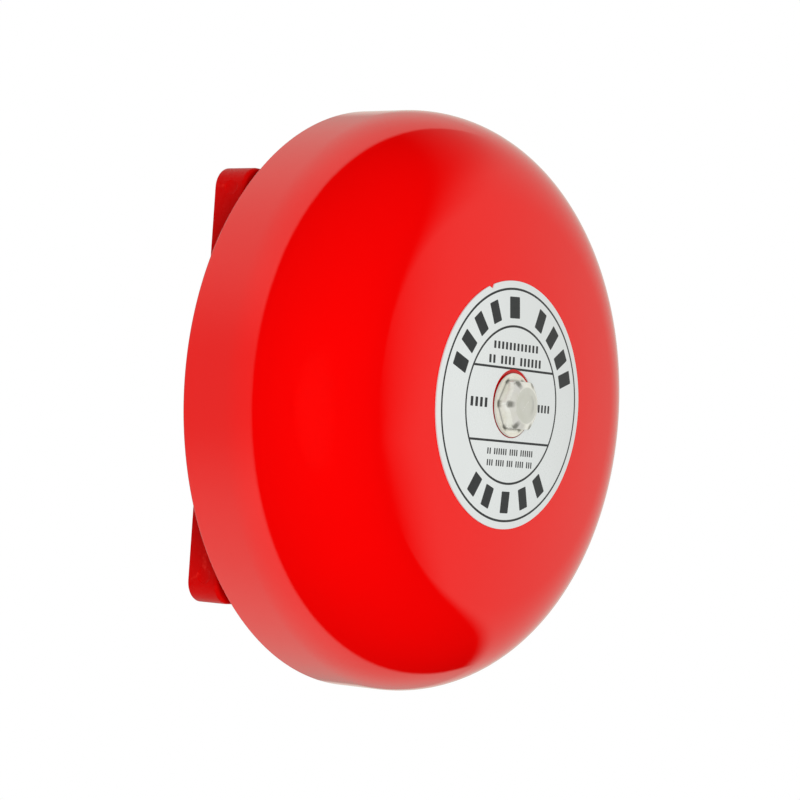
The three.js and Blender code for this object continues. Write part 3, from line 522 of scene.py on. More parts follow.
def rounded(profile, radius, steps):
    """A closed outline with each corner rounded. A point's third value, if any, is its own radius."""
    out = []
    count = len(profile)
    for i in range(count):
        point, before, after = (Vector(profile[k % count][:2]) for k in (i, i - 1, i + 1))
        r = profile[i][2] if len(profile[i]) > 2 else radius
        u, v = (before - point), (after - point)
        if r <= 0 or u.length < 1e-9 or v.length < 1e-9:
            out.append(tuple(point))
            continue
        half = u.angle(v) / 2
        if half > math.pi / 2 - 0.02:
            out.append(tuple(point))
            continue
        reach = min(r / math.tan(half), u.length * 0.48, v.length * 0.48)
        r = reach * math.tan(half)
        middle = point + (u.normalized() + v.normalized()).normalized() * (r / math.sin(half))
        start = point + u.normalized() * reach - middle
        end = point + v.normalized() * reach - middle
        sweep = start.angle_signed(end)
        for s in range(steps + 1):
            turn = Matrix.Rotation(-sweep * s / steps, 2)
            out.append(tuple(middle + turn @ start))
    return out


def circle(radius, x=0.0, y=0.0, steps=32, start=0.0):
    return [
        (x + radius * math.cos(start + TAU * i / steps), y + radius * math.sin(start + TAU * i / steps))
        for i in range(steps)
    ]


def rectangle(x0, x1, y0, y1, corner=0.0, steps=8):
    return rounded([(x0, y0), (x1, y0), (x1, y1), (x0, y1)], corner, steps)


def area(loop):
    return sum(a[0] * b[1] - b[0] * a[1] for a, b in zip(loop, loop[1:] + loop[:1])) / 2


def inset(loop, amount):
    """The loop moved towards its left by an amount, which is inwards on a counter-clockwise one."""
    out = []
    for i, point in enumerate(loop):
        p, before, after = (Vector(loop[k % len(loop)]) for k in (i, i - 1, i + 1))
        a, b = (p - before).normalized(), (after - p).normalized()
        left = Vector((-a.y - b.y, a.x + b.x))
        scale = amount / max(0.3, 1 + a.dot(b))
        out.append((p.x + left.x * scale, p.y + left.y * scale))
    return out


def plate(loops, bottom, top, edge, steps=2):
    """A flat plate between two heights: the first loop is its outline, the rest are holes.

    edge is the rounding of its edges, or the lower and the upper edges' roundings.
    """
    low_edge, high_edge = edge if isinstance(edge, tuple) else (edge, edge)
    loops = [loop if (area(loop) > 0) == (i == 0) else loop[::-1] for i, loop in enumerate(loops)]
    turns = [math.pi / 2 * k / steps for k in range(steps + 1)]
    levels = [(low_edge * (1 - math.sin(a)), bottom + low_edge * (1 - math.cos(a))) for a in turns]
    levels += [(high_edge * (1 - math.sin(a)), top - high_edge * (1 - math.cos(a))) for a in turns[::-1]]
    vertices, faces = [], []
    firsts, lasts = [], []
    for loop in loops:
        start = len(vertices)
        count = len(loop)
        for amount, d in levels:
            vertices += [(x, y, d) for x, y in (inset(loop, amount) if amount else loop)]
        for level in range(len(levels) - 1):
            a, b = start + level * count, start + (level + 1) * count
            faces += [(a + j, a + (j + 1) % count, b + (j + 1) % count, b + j) for j in range(count)]
        firsts += range(start, start + count)
        lasts += range(start + (len(levels) - 1) * count, start + len(levels) * count)
    flat = [[Vector((x, y, 0)) for x, y in loop] for loop in loops]
    for a, b, c in tessellate_polygon(flat):
        faces.append((firsts[a], firsts[b], firsts[c]))
        faces.append((lasts[a], lasts[b], lasts[c]))
    return mesh_of(vertices, faces)


def combined(parts, cuts=()):
    """The union of the parts less the cuts, as one mesh."""
    bag = bpy.data.collections.new("bag")
    tools = bpy.data.collections.new("tools")
    first = object_of(parts[0])
    for mesh in parts[1:]:
        bag.objects.link(bpy.data.objects.new("part", mesh))
    for mesh in cuts:
        tools.objects.link(bpy.data.objects.new("cut", mesh))
    for collection, operation in ((bag, "UNION"), (tools, "DIFFERENCE")):
        if collection.objects:
            step = first.modifiers.new(operation, "BOOLEAN")
            step.operation, step.operand_type, step.solver = operation, "COLLECTION", "EXACT"
            step.collection = collection
    bpy.context.view_layer.update()
    evaluated = first.evaluated_get(bpy.context.evaluated_depsgraph_get())
    mesh = bpy.data.meshes.new_from_object(evaluated)
    bpy.data.objects.remove(first)
    for collection in (bag, tools):
        for o in list(collection.objects):
            bpy.data.objects.remove(o)
        bpy.data.collections.remove(collection)
    return cleaned(mesh, merge(2e-7), drop_slivers)


def piece(name, mesh, node, material=None, degrees=32):
    """Puts a mesh in the scene as the piece that stands for a CAD node."""
    made = object_of(mesh, name)
    mesh.name = name
    mesh.materials.clear()
    mesh.materials.append(material or MATERIALS[SLOT_OF[node]])
    smooth(mesh, degrees)
    made.modifiers.new("normals", "WEIGHTED_NORMAL").keep_sharp = True
    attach(made, BODY_OF[node])
    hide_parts(node)
    return made


def arc(cx, cy, radius, start, end, steps):
    """Points of an arc about (cx, cy), with its angles in radians."""
    spread = [start + (end - start) * i / steps for i in range(steps + 1)]
    return [(cx + radius * math.cos(a), cy + radius * math.sin(a)) for a in spread]


# ---- Gong ----

WALL = 1.8
SKIRT_HEIGHT = 13.5
SHOULDER_RADIUS = 28.3
GONG_HOLE = 4.4
SHOULDER_MIDDLE = (GONG_RADIUS - SHOULDER_RADIUS, RIM + SKIRT_HEIGHT)


def dome_radius():
    rise = APEX - SHOULDER_MIDDLE[1]
    return (SHOULDER_MIDDLE[0] ** 2 + rise**2 - SHOULDER_RADIUS**2) / (2 * (rise - SHOULDER_RADIUS))


DOME_RADIUS = dome_radius()
DOME_MIDDLE = APEX - DOME_RADIUS
DOME_EDGE = math.atan2(SHOULDER_MIDDLE[1] - DOME_MIDDLE, SHOULDER_MIDDLE[0])
DIP = 0.5
DIP_REACH = 33.0


def dip(radius):
    """How far the gong's front is pressed in round the bolt."""
    share = min(1.0, radius / DIP_REACH)
    return DIP * (1 - share * share) ** 2


def dome(radius, offset):
    """The height of the gong's front at a radius, with an offset outwards."""
    return DOME_MIDDLE + math.sqrt((DOME_RADIUS + offset) ** 2 - radius**2) - dip(radius)


def gong_line(offset, inner):
    """The gong's outer line from the rim's upper side to the middle hole, moved in by an offset."""
    top = DOME_RADIUS - offset
    shoulder = arc(*SHOULDER_MIDDLE, SHOULDER_RADIUS - offset, 0, DOME_EDGE, 28)
    front = arc(0, DOME_MIDDLE, top, DOME_EDGE, math.acos(inner / top), 14)
    return shoulder + front[1:]


def make_gong():
    bead = 0.8
    outer, inner = gong_line(0, GONG_HOLE + 0.3), gong_line(WALL, GONG_HOLE + 0.3)
    outer = [(r, d - dip(r)) for r, d in outer]
    rim = arc(GONG_RADIUS - WALL + bead, RIM + bead, bead, math.pi, math.pi * 1.5, 4)
    rim += arc(GONG_RADIUS - bead, RIM + bead, bead, -math.pi / 2, 0, 4)
    hole = [(GONG_HOLE, outer[-1][1] - 0.3), (GONG_HOLE, inner[-1][1] + 0.3)]
    profile = rim + outer + hole + inner[::-1]
    piece("gong_shell", turned(profile, sides=256), "gong")


# ---- Label ----

label = place("label")
FILM_TOP = 0.38  # over the dome
FILM_BOTTOM = 0.05
FILM_HOLE = 8.72
FILM_HOLE_RISE = 0.35  # of the hole's middle
INNER_RING = 19.92
OUTER_RING = 29.39
RING_LINE = 0.58
UPPER_CHORD = 9.16
LOWER_CHORD = -9.33
BIG_BLOCKS = (-68, -53.5, -38, -22, -2.5, 26, 42, 58, 71)  # degrees clockwise from the top
LOW_BLOCKS = (-146.5, -161.5, 180, 161.5, 144)
WIDE_BLOCK = -2.5  # the one that is wider than the rest
SMALL_ROWS = (  # x0, x1, y, height, blocks in each word
    (-9.9, 10.4, 14.75, 1.9, (12,)),
    (-11.7, 12.0, 11.1, 2.1, (2, 4, 6)),
    (-18.5, -10.6, 0.0, 2.4, (4,)),
    (11.2, 17.2, -0.2, 2.0, (4,)),
    (-9.8, 10.7, -11.95, 1.6, (2, 6, 4, 6)),
    (-9.6, 10.7, -14.85, 1.6, (3, 4, 3, 4, 3)),
)


def block(x, y, width, height, turn, corner=0.25):
    """A bar of ink, as a loop."""
    loop = rectangle(-width / 2, width / 2, -height / 2, height / 2, corner, 3)
    spin = Matrix.Rotation(turn, 2)
    return [tuple(Vector((x, y)) + spin @ Vector(p)) for p in loop]


def row_of_blocks(x0, x1, y, height, words):
    """Small blocks in a row, with a gap after each word's number of them."""
    total = sum(words) + len(words) - 1
    step = (x1 - x0) / total
    made, at = [], 0
    for word in words:
        for _ in range(word):
            made.append(block(x0 + step * (at + 0.5), y, step * 0.95 / 1.72, height, 0, 0.12))
            at += 1
        at += 1
    return made


def label_ink():
    """The printed areas: (loop, the loops left out of it)."""
    half = RING_LINE / 2
    areas = [(circle(r + half, steps=120), [circle(r - half, steps=120)]) for r in (INNER_RING, OUTER_RING)]
    for y in (UPPER_CHORD, LOWER_CHORD):
        reach = math.sqrt(INNER_RING**2 - y * y)
        areas.append((rectangle(-reach, reach, y - half, y + half), []))
    middle = (INNER_RING + OUTER_RING) / 2
    for degrees in BIG_BLOCKS + LOW_BLOCKS:
        a = math.radians(degrees)
        width = 4.4 if degrees == WIDE_BLOCK else 3.5
        areas.append((block(middle * math.sin(a), middle * math.cos(a), width, 5.5, -a), []))
    for row in SMALL_ROWS:
        areas += [(loop, []) for loop in row_of_blocks(*row)]
    return areas


def label_outline():
    """The film's edge, with a small torn nick at its upper left."""
    nick, half, depth = math.radians(90 + 21), math.radians(1.6), 1.0
    outline = []
    for point in circle(label.x1 - 0.05, steps=180, start=nick + half):
        angle = (math.atan2(point[1], point[0]) - nick + math.pi) % TAU - math.pi
        if abs(angle) >= half:
            outline.append(point)
    tip = label.x1 - depth
    outline.append((tip * math.cos(nick - 0.006), tip * math.sin(nick - 0.006)))
    return outline


def make_label():
    areas = label_ink()
    hole = circle(FILM_HOLE, y=FILM_HOLE_RISE, steps=96)
    loops = [label_outline(), hole]
    loops += [circle(r, steps=90) for r in (12.5, 16, 23, 26.5)]
    ink = []
    for loop, without in areas:
        first = len(loops)
        loops += [loop, *without]
        ink.append((first, range(first + 1, len(loops))))
    points, polygons = [], []
    for loop in loops:
        polygons.append(list(range(len(points), len(points) + len(loop))))
        points += [Vector(p) for p in loop]
    flat, _, triangles, _, _, inside = delaunay_2d_cdt(points, [], polygons, 1, 1e-5)
    kept = [(t, i) for t, i in zip(triangles, inside) if 0 in i and 1 not in i]
    vertices, faces, inked = [], [], []
    count = len(flat)
    for offset in (FILM_TOP, FILM_BOTTOM):
        vertices += [(p.x, p.y, dome(p.length, offset)) for p in flat]
    edges = {}
    for triangle, of in kept:
        faces.append(tuple(triangle))
        inked.append(any(a in of and not any(w in of for w in without) for a, without in ink))
        for a, b in zip(triangle, (*triangle[1:], triangle[0])):
            key = (min(a, b), max(a, b))
            edges[key] = None if key in edges else (a, b)
    top = len(faces)
    faces += [tuple(i + count for i in face[::-1]) for face in faces[:top]]
    faces += [(b, a, a + count, b + count) for a, b in filter(None, edges.values())]
    inked += [False] * (len(faces) - top)
    mesh = raw_mesh(vertices, faces, "label")
    for polygon, dark in zip(mesh.polygons, inked):
        polygon.material_index = int(dark)
    cleaned(mesh, drop_loose, face_outwards)
    slots = [p.material_index for p in mesh.polygons]
    piece("label_film", mesh, "label")
    mesh.materials.append(MATERIALS["label_ink"])
    for polygon, index in zip(mesh.polygons, slots):
        polygon.material_index = index


# ---- Gong bolt ----

bolt = place("gong_bolt")
BOLT_FLATS = 12.0
BOLT_HEAD = 4.0
BOLT_CHAMFER = math.radians(28)
THREAD_PITCH = 1.25


def hexagon(angle, across, corner):
    """The radius of a hexagon with corners on the x axis and its corners taken off at a radius."""
    part = (angle % (TAU / 6)) - TAU / 12
    return min(across / 2 / math.cos(part), corner)


def make_bolt():
    seat = bolt.d1 - BOLT_HEAD - DIP
    top = bolt.d1
    corner = BOLT_FLATS / math.sqrt(3) - 0.16
    slope = math.tan(BOLT_CHAMFER)
    rim = 4.75
    sides = 144
    rings = []

    def level(radius, height):
        """Adds a ring of points. radius may be a function of the angle, and height one of the radius."""
        ring = []
        for i in range(sides):
            angle = TAU * i / sides
            r = radius(angle) if callable(radius) else radius
            ring.append((r * math.cos(angle), r * math.sin(angle), height(r) if callable(height) else height))
        rings.append(ring)

    # A shallow dish on top, inside a flat ring.
    dish = ((0.15, 0.24), (1.2, 0.24), (2.2, 0.21), (2.9, 0.13), (3.3, 0.05), (3.6, 0.01), (4.4, 0.0))
    for r, drop in dish:
        level(r, top - drop)
    level(rim - 0.12, top - 0.005)
    level(rim, top - 0.04)

    # The chamfer cone over the hexagon, then the flats with a rounded upper edge.
    def edge(inset_by):
        return lambda a: hexagon(a, BOLT_FLATS, corner) - inset_by

    def chamfer(r):
        return top - 0.04 - (max(r, rim) - rim) * slope

    level(lambda a: max(rim, edge(0.28)(a)), chamfer)
    for inset_by, drop in ((0.10, 0.01), (0.02, 0.09), (0.0, 0.24)):
        level(edge(inset_by), lambda r, drop=drop: chamfer(r) - drop)
    for inset_by, rise in ((0.0, 0.72), (-0.04, 0.50), (-0.14, 0.45)):
        level(edge(inset_by), seat + rise)
    # The flange: a cone out to a rounded rim.
    flange = ((7.12, 0.56), (7.5, 0.53), (7.86, 0.48), (8.02, 0.40), (8.1, 0.28), (8.1, 0.18), (8.0, 0.05))
    for r, d in flange:
        level(r, seat + d)
    level(7.85, seat)
    level(4.35, seat)
    # Shank: a plain neck, then the thread to a chamfered end.
    neck = 4.0
    root, crest = 3.34, 3.9
    end = bolt.d0
    level(crest, seat - 0.4)
    level(crest, seat - neck)
    steps = int((seat - neck - end - 0.9) / (THREAD_PITCH / 8))
    for i in range(1, steps + 1):
        d = seat - neck - i * THREAD_PITCH / 8

        def threaded(a, d=d):
            turn = ((seat - d) / THREAD_PITCH + a / TAU) % 1
            wave = min(1, max(0, abs(turn * 2 - 1) * 1.5 - 0.25))
            fade = min(1, (seat - neck - d) / 0.8)
            return crest - (crest - root) * wave * fade

        level(threaded, d)
    level(root - 0.1, end + 0.5)
    level(root - 0.55, end)
    level(0.15, end)
    piece("gong_bolt_steel", mesh_of(*swept(rings)), "gong_bolt", MATERIALS["bolt_zinc"], degrees=26)


# ---- Turned and moulded shapes used by several pieces ----


def lathe(points, edge, sides=64, x=0.0, y=0.0):
    """A profile of (radius, d) with its corners rounded, turned. Corners on the axis stay sharp."""
    corners = [(*p[:2], 0.0) if p[0] < 1e-6 else p for p in points]
    return turned(rounded(corners, edge, 3), sides, x, y)


def rod(radius, d0, d1, x=0.0, y=0.0, edge=0.0, sides=40):
    return lathe([(0, d0), (radius, d0), (radius, d1), (0, d1)], edge, sides, x, y)


def tube_ring(outer, inner, d0, d1, edge):
    return lathe([(inner, d0), (outer, d0), (outer, d1), (inner, d1)], edge)


def block_of(x0, x1, y0, y1, d0, d1, corner=0.0, edge=0.0):
    return plate([rectangle(x0, x1, y0, y1, corner, 4)], d0, d1, edge, 2 if edge else 1)


def upright(mesh, x):
    """A flat plate drawn as (y, d) and stood up with its thickness along x, from the given x."""
    mesh.transform(Matrix(((0, -1, 0, x * MM), (0, 0, -1, 0), (1, 0, 0, 0), (0, 0, 0, 1))))
    return mesh


def on_edge(mesh, y):
    """A flat plate drawn as (x, d) and stood up with its thickness along y, down from the given y."""
    mesh.transform(Matrix(((1, 0, 0, 0), (0, 0, -1, 0), (0, 1, 0, y * MM), (0, 0, 0, 1))))
    return mesh


def screw_thread(radius, depth, pitch, start, end):
    """How far to draw in a radius at an angle and height, for a thread that fades out at both ends."""

    def drawn(angle, d):
        turn = (d / pitch - angle / TAU) % 1
        wave = min(1.0, max(0.0, abs(turn * 2 - 1) * 1.5 - 0.25))
        fade = min(1.0, max(0.0, min(d - start, end - d) / pitch))
        return radius - depth * wave * fade

    return drawn


def levels_between(start, end, step):
    count = max(2, int(abs(end - start) / step))
    return [start + (end - start) * i / count for i in range(count + 1)]


# ---- Base, seal and grommet ----

base = place("mounting_base")
seal = place("wall_seal")
grommet = place("cable_grommet")
chassis = place("mechanism_chassis")
HALF = base.x1
BASE_CORNER = 5.3
PLATE_BACK = base.d1 - 2.2
HOLE_SQUARE = 42.0
EARS = [(-30.0, 26.5), (-30.0, -26.5), (36.0, 26.5), (36.0, -26.5)]
DIMPLES = [(49.4, 5.2), (-47.6, 5.1)]  # (y, d)
CORNERS = [(sx * HOLE_SQUARE, sy * HOLE_SQUARE) for sx in (-1, 1) for sy in (-1, 1)]


def square(half, corner, steps=10):
    return rectangle(-half, half, -half, half, corner, steps)


def side_dimple(y, d):
    """A tool for a shallow cast dimple in the base's left side."""
    radius = 2.6
    return lying(rod(radius, -radius, radius, edge=radius * 0.95, sides=32), -HALF - radius + 0.3, y, d)


def make_base():
    inside = HALF - 4
    tray = combined(
        [plate([square(HALF, BASE_CORNER, 16)], base.d0, base.d1, (0.25, 1.0), 5)],
        [plate([square(inside, 2)], -1, PLATE_BACK, 0.5, 3)],
    )
    seat = PLATE_BACK + 0.5
    bosses = [rod(5, 0, seat, x, y, 0.3) for x, y in CORNERS]
    bosses += [rod(3.6, 2, seat, x, y, 0.3) for x, y in EARS]
    bosses.append(rod(11, 0, seat, edge=0.4, sides=64))
    ribs = [block_of(-1, 1, *span, 3, seat, 0, 0.25) for span in ((10.6, inside + 1), (-inside - 1, -10.6))]
    webs = [
        block_of(x - 0.7, x + 0.7, *span, 4.6, seat, 0, 0.2)
        for x in (-30, 36) for span in ((29, 51), (-51, -29))
    ]
    tools = [plate([square(HALF - 1.2, 4.1), square(HALF - 2.9, 2.4)], -1, 1.5, 0.1)]
    low, high = base.d1 - 0.6, base.d1 + 0.4
    for x, y in CORNERS:
        tools.append(rod(2.4, -1, base.d1 + 1, x, y))
        tools.append(lathe([(0, low), (2.3, low), (3.3, high), (0, high)], 0, 40, x, y))
    tools += [rod(1.8, 3.5, base.d1 + 1, x, y) for x, y in EARS]
    tools.append(rod(4.15, 3.2, base.d1 + 1, sides=48))
    tools.append(rod(6.5, -1, base.d1 + 1, grommet.x, grommet.y, sides=64))
    tools += [side_dimple(*at) for at in DIMPLES]
    piece("base_casting", combined([tray, *bosses, *ribs, *webs], tools), "mounting_base", degrees=28)


def make_seal():
    half = seal.x1
    loops = [square(half, 3.95), square(half - 1.4, 2.55)]
    piece("base_seal", plate(loops, seal.d0, seal.d1, 0.35, 3), "wall_seal")


def make_grommet():
    flange = (grommet.x1 - grommet.x0) / 2
    waist = flange - 2.15
    back, front = grommet.d0 + 1.6, grommet.d1 - 1.6
    profile = [
        (3.6, grommet.d0), (flange - 0.6, grommet.d0), (flange, back - 0.7), (flange, back, 0.1),
        (waist, back, 0.1), (waist, front, 0.1), (flange, front, 0.1), (flange, front + 0.7),
        (flange - 0.8, grommet.d1),
        (4.6, grommet.d1), (4.2, grommet.d1 - 0.5), (3.6, grommet.d1 - 1.0),
    ]
    piece("grommet_rubber", lathe(profile, 0.35, 72, grommet.x, grommet.y), "cable_grommet")


# ---- Centre post and washer ----


def make_post():
    post, washer = place("gong_post"), place("post_washer")
    foot = base.d1 + 0.15
    bore, depth = 4.05, 19
    thread = screw_thread(bore, -0.32, THREAD_PITCH, post.d1 - 17, post.d1 - 0.8)
    outside = [(0, post.d0, 0), (4, post.d0), (4, foot, 0), (6, foot), (6, post.d1)]
    profile = rounded(outside + [(bore + 0.35, post.d1, 0.05)], 0.3, 3)
    profile += [(bore, d) for d in levels_between(post.d1 - 0.4, post.d1 - 17.6, THREAD_PITCH / 8)]
    profile += [(bore - 0.1, post.d1 - depth), (0, post.d1 - depth - 1.8)]
    mesh = turned(profile, 48, reach=lambda r, a, d: thread(a, d) if abs(r - bore) < 1e-6 else r)
    piece("centre_post", mesh, "gong_post")
    piece("post_rubber", tube_ring(7, 4.2, washer.d0, washer.d1, 0.28), "post_washer")


# ---- Screws ----


def screw_mesh(head, height, shank, length):
    """A cross-recessed pan-head screw about the axis, with its head's underside at d = 0."""
    bow = head * 1.25
    crown = arc(0, height - bow, bow, math.acos(0.93 * head / bow), math.pi / 2, 5)[:-1] + [(0.0, height)]
    under = [(0.0, -length), (shank * 0.45, -length), (shank - 0.12, -length + shank * 0.6)]
    thread = screw_thread(shank, shank * 0.22, shank * 0.62, -length + shank * 0.5, -0.3)
    body = [(shank, d) for d in levels_between(-length + shank * 0.7, -0.25, shank * 0.62 / 5)]
    rim = crown[0][1]
    lip = [(shank, 0.0), (head - 0.1, 0.0), (head, 0.12), (head, rim * 0.72), (head * 0.985, rim * 0.9)]
    profile = under + body + lip + crown
    mesh = turned(profile, 32, reach=lambda r, a, d: thread(a, d) if abs(r - shank) < 1e-6 else r)
    arm, half = head * 0.6, head * 0.13
    floor = height * 0.45
    tools = []
    for quarter in (0, math.pi / 2):
        outline = [(-arm * 0.55, floor), (arm * 0.55, floor), (arm, height + 0.5), (-arm, height + 0.5)]
        tool = on_edge(plate([outline], -half, half, 0, 1), 0)
        tool.transform(Matrix.Rotation(quarter + 0.4, 4, "Y"))
        tools.append(tool)
    return combined([mesh], tools)


def make_screws(kind, count, seat, height, shank):
    first = place(f"{kind}_1")
    head = (first.x1 - first.x0) / 2
    mesh = screw_mesh(head, height, shank, seat - first.d0)
    for i in range(1, count + 1):
        at = place(f"{kind}_{i}")
        own = mesh.copy()
        own.transform(Matrix.Rotation(0.9 * i * i, 4, "Y"))
        own.transform(shift(at.x, at.y, seat))
        piece(f"{kind}_{i}_steel", own, f"{kind}_{i}", degrees=35)


def make_all_screws():
    for kind, count, height, shank in (
        ("chassis_screw", 4, 2.0, 1.5), ("plate_screw", 4, 1.7, 1.2), ("clamp_screw", 2, 1.6, 1.2),
        ("board_screw", 2, 1.5, 1.0),
    ):
        make_screws(kind, count, place(f"{kind}_1").d1 - height, height, shank)


# ---- Chassis, gasket and motor plate ----

STRIKE = 19.75
FLOOR_TOP = 13.0
PLATE_POSTS = [(14.5, 19.0), (14.5, -19.0), (57.5, 19.0), (57.5, -19.0)]
BOARD_POSTS = [(-34.5, 15.5), (-34.5, -15.5), (-14.5, 15.5), (-14.5, -15.5)]
CLAMP_SCREW_Y = 18.6
BUSH_RADIUS = 3.5
ROD_RADIUS = 2.2


def lying_rod(radius, x0, x1, edge=0.0, sides=40):
    return lying(rod(radius, 0, x1 - x0, edge=edge, sides=sides), x0, 0, STRIKE)


def floor_outline(by, corner=4.0):
    return rectangle(-39 + by, 63 - by, by - 22.5, 22.5 - by, corner, 8)


def make_gasket():
    gasket = place("chassis_gasket")
    sheet = plate([floor_outline(0.8, 3.4), circle(7, steps=64)], gasket.d0, gasket.d1, 0.12)
    piece("gasket_sheet", sheet, "chassis_gasket")


def make_chassis():
    top, sunk, bottom = chassis.d1, FLOOR_TOP - 0.5, chassis.d0
    inner, outer = place("striker_bush_inner"), place("striker_bush_outer")
    parts = [plate([floor_outline(0)], 10.5, FLOOR_TOP, (0.15, 0.35), 3)]
    for x, y in EARS:
        parts.append(rod(4.4, bottom, FLOOR_TOP, x, y, 0.3, 48))
        near, far = sorted((y, math.copysign(22, y)))
        parts.append(block_of(x - 4.39, x + 4.39, near, far, bottom, FLOOR_TOP, 0, 0.3))
    for side in (1, -1):
        wall, rail = sorted((14 * side, 17 * side)), sorted((11.5 * side, 14.5 * side))
        parts.append(block_of(9, outer.x1, *wall, sunk, top, 0, 0.35))
        parts.append(block_of(9, inner.x0 + 1, *rail, sunk, 16.5, 0, 0.25))
        for x in (21.5, 28, 34.5, 41, 49.5):
            gusset = [(16.6 * side, sunk), (21.2 * side, sunk), (21.2 * side, 13.6), (16.6 * side, 20.5)]
            parts.append(upright(plate([gusset], -0.5, 0.5, 0.12, 1), x))
    for x0, x1 in ((9, 10.8), (inner.x0, inner.x1), (outer.x0, outer.x1)):
        parts.append(block_of(x0, x1, -17, 17, sunk, top, 0, 0.3))
    parts.append(rod(8.4, sunk, 21, edge=0.4, sides=64))
    parts += [rod(2.6, sunk, 17.95, x, y, 0.2) for x, y in BOARD_POSTS]
    parts += [rod(3.2, sunk, top, x, y, 0.3) for x, y in PLATE_POSTS]
    for x in (-26, -6):
        parts.append(block_of(x - 0.6, x + 0.6, -21.5, 21.5, sunk, 14.1, 0, 0.2))
    tools = [rod(6.4, 5, 30, sides=64)]
    tools += [rod(1.8, 5, 20, x, y) for x, y in EARS]
    tools += [rod(1.3, FLOOR_TOP, 30, x, y, sides=24) for x, y in BOARD_POSTS]
    tools += [rod(1.45, FLOOR_TOP + 1, 30, x, y, sides=24) for x, y in PLATE_POSTS]
    tools += [lying_rod(BUSH_RADIUS + 0.12, g.x0 - 1, g.x1 + 1, sides=48) for g in (inner, outer)]
    piece("chassis_moulding", combined(parts, tools), "mechanism_chassis", degrees=28)


def make_motor_plate():
    at = place("motor_plate")
    motor = place("motor_can")
    loops = [rectangle(at.x0, at.x1, at.y0, at.y1, 3, 8), circle(4.3, motor.x, 0, 48), circle(7, 51.5, 0, 64)]
    clamp_screws = [(motor.x, CLAMP_SCREW_Y), (motor.x, -CLAMP_SCREW_Y)]
    loops += [circle(1.5, x, y, 24) for x, y in PLATE_POSTS + clamp_screws]
    piece("motor_plate_steel", plate(loops, at.d0, at.d1, 0.14, 2), "motor_plate")


# ---- Motor ----


def make_motor():
    can, cap = place("motor_can"), place("motor_end_cap")
    radius = (can.x1 - can.x0) / 2
    floor = can.d0 + 1.3
    wall = radius - 1

    def crimped(r, angle, d):
        """Six crimps press the can's mouth on to the cap."""
        if d < can.d1 - 2.2 or r < wall - 0.1:
            return r
        off = (angle * 6 / TAU) % 1 - 0.5
        return r - 0.14 * max(0.0, 1 - (off / 0.11) ** 2) * min(1.0, (d - can.d1 + 2.2) / 0.6)

    profile = rounded(
        [
            (3.15, can.d0), (3.9, can.d0), (3.9, floor, 0.3), (radius, floor, 1.6), (radius, can.d1 - 3, 0),
            (radius, can.d1 - 1.8, 0), (radius, can.d1), (wall, can.d1), (wall, floor + 1, 0.6),
            (3.15, floor + 1),
        ],
        0.15, 5,
    )
    piece("motor_can_steel", turned(profile, 144, can.x, 0, crimped), "motor_can")

    lip = wall - 0.15
    seat = can.d1 + 0.15
    profile = [
        (2.35, seat), (lip - 1, seat), (lip - 1, seat - 1.3), (lip, seat - 1.3), (lip, seat, 0.05),
        (radius, seat),
        (radius, cap.d1 - 0.9, 0.3), (radius - 0.9, cap.d1, 0.3), (9.9, cap.d1), (9.6, cap.d1 - 0.35),
        (4.4, cap.d1 - 0.35), (4.1, cap.d1), (2.35, cap.d1),
    ]
    tools = []
    for side in (1, -1):
        x = can.x + side * 8
        tools.append(block_of(x - 0.45, x + 0.45, -1.3, 1.3, seat - 3, cap.d1 + 1))
    for degrees in (40, 140, 220, 320):
        a = math.radians(degrees)
        tools.append(rod(1.1, cap.d1 - 1.2, cap.d1 + 1, can.x + 7 * math.cos(a), 7 * math.sin(a), sides=24))
    mesh = combined([lathe(profile, 0.2, 96, can.x, 0)], tools)
    piece("motor_cap_moulding", mesh, "motor_end_cap", degrees=30)


def make_tabs():
    for node in ("motor_tab_left", "motor_tab_right"):
        at = place(node)
        top = at.d1
        outline = [(-1.1, at.d0, 0.1), (1.1, at.d0, 0.1), (1.1, top, 0.6), (-1.1, top, 0.6)]
        eye = circle(0.5, 0, top - 0.75, 20)
        piece(f"{node}_brass", upright(plate([rounded(outline, 0.3, 5), eye], -0.25, 0.25, 0.06), at.x), node)


def make_clamp():
    at = place("motor_clamp")
    cap = place("motor_end_cap")
    inner, thick = (cap.x1 - cap.x0) / 2 + 0.35, 0.8
    foot, crown = at.d0, at.d1 - thick
    under = [(-at.y1, foot, 0), (-inner, foot, 0), (-inner, crown, 1.2)]
    under += [(inner, crown, 1.2), (inner, foot, 0), (at.y1, foot, 0)]
    over = [
        (at.y1, foot + thick, 0), (inner + thick, foot + thick, 0.5), (inner + thick, at.d1, 2.0),
        (-inner - thick, at.d1, 2.0), (-inner - thick, foot + thick, 0.5), (-at.y1, foot + thick, 0),
    ]
    strap = upright(plate([rounded(under + over, 0, 6)], -3.5, 3.5, 0.15, 2), at.x)
    tools = [rod(1.5, foot - 1, foot + 3, at.x, y, sides=32) for y in (CLAMP_SCREW_Y, -CLAMP_SCREW_Y)]
    tools.append(rod(3.2, crown - 1, at.d1 + 1, at.x, 0, sides=48))
    piece("motor_clamp_steel", combined([strap], tools), "motor_clamp", degrees=28)


# ---- Rotor's visible parts ----


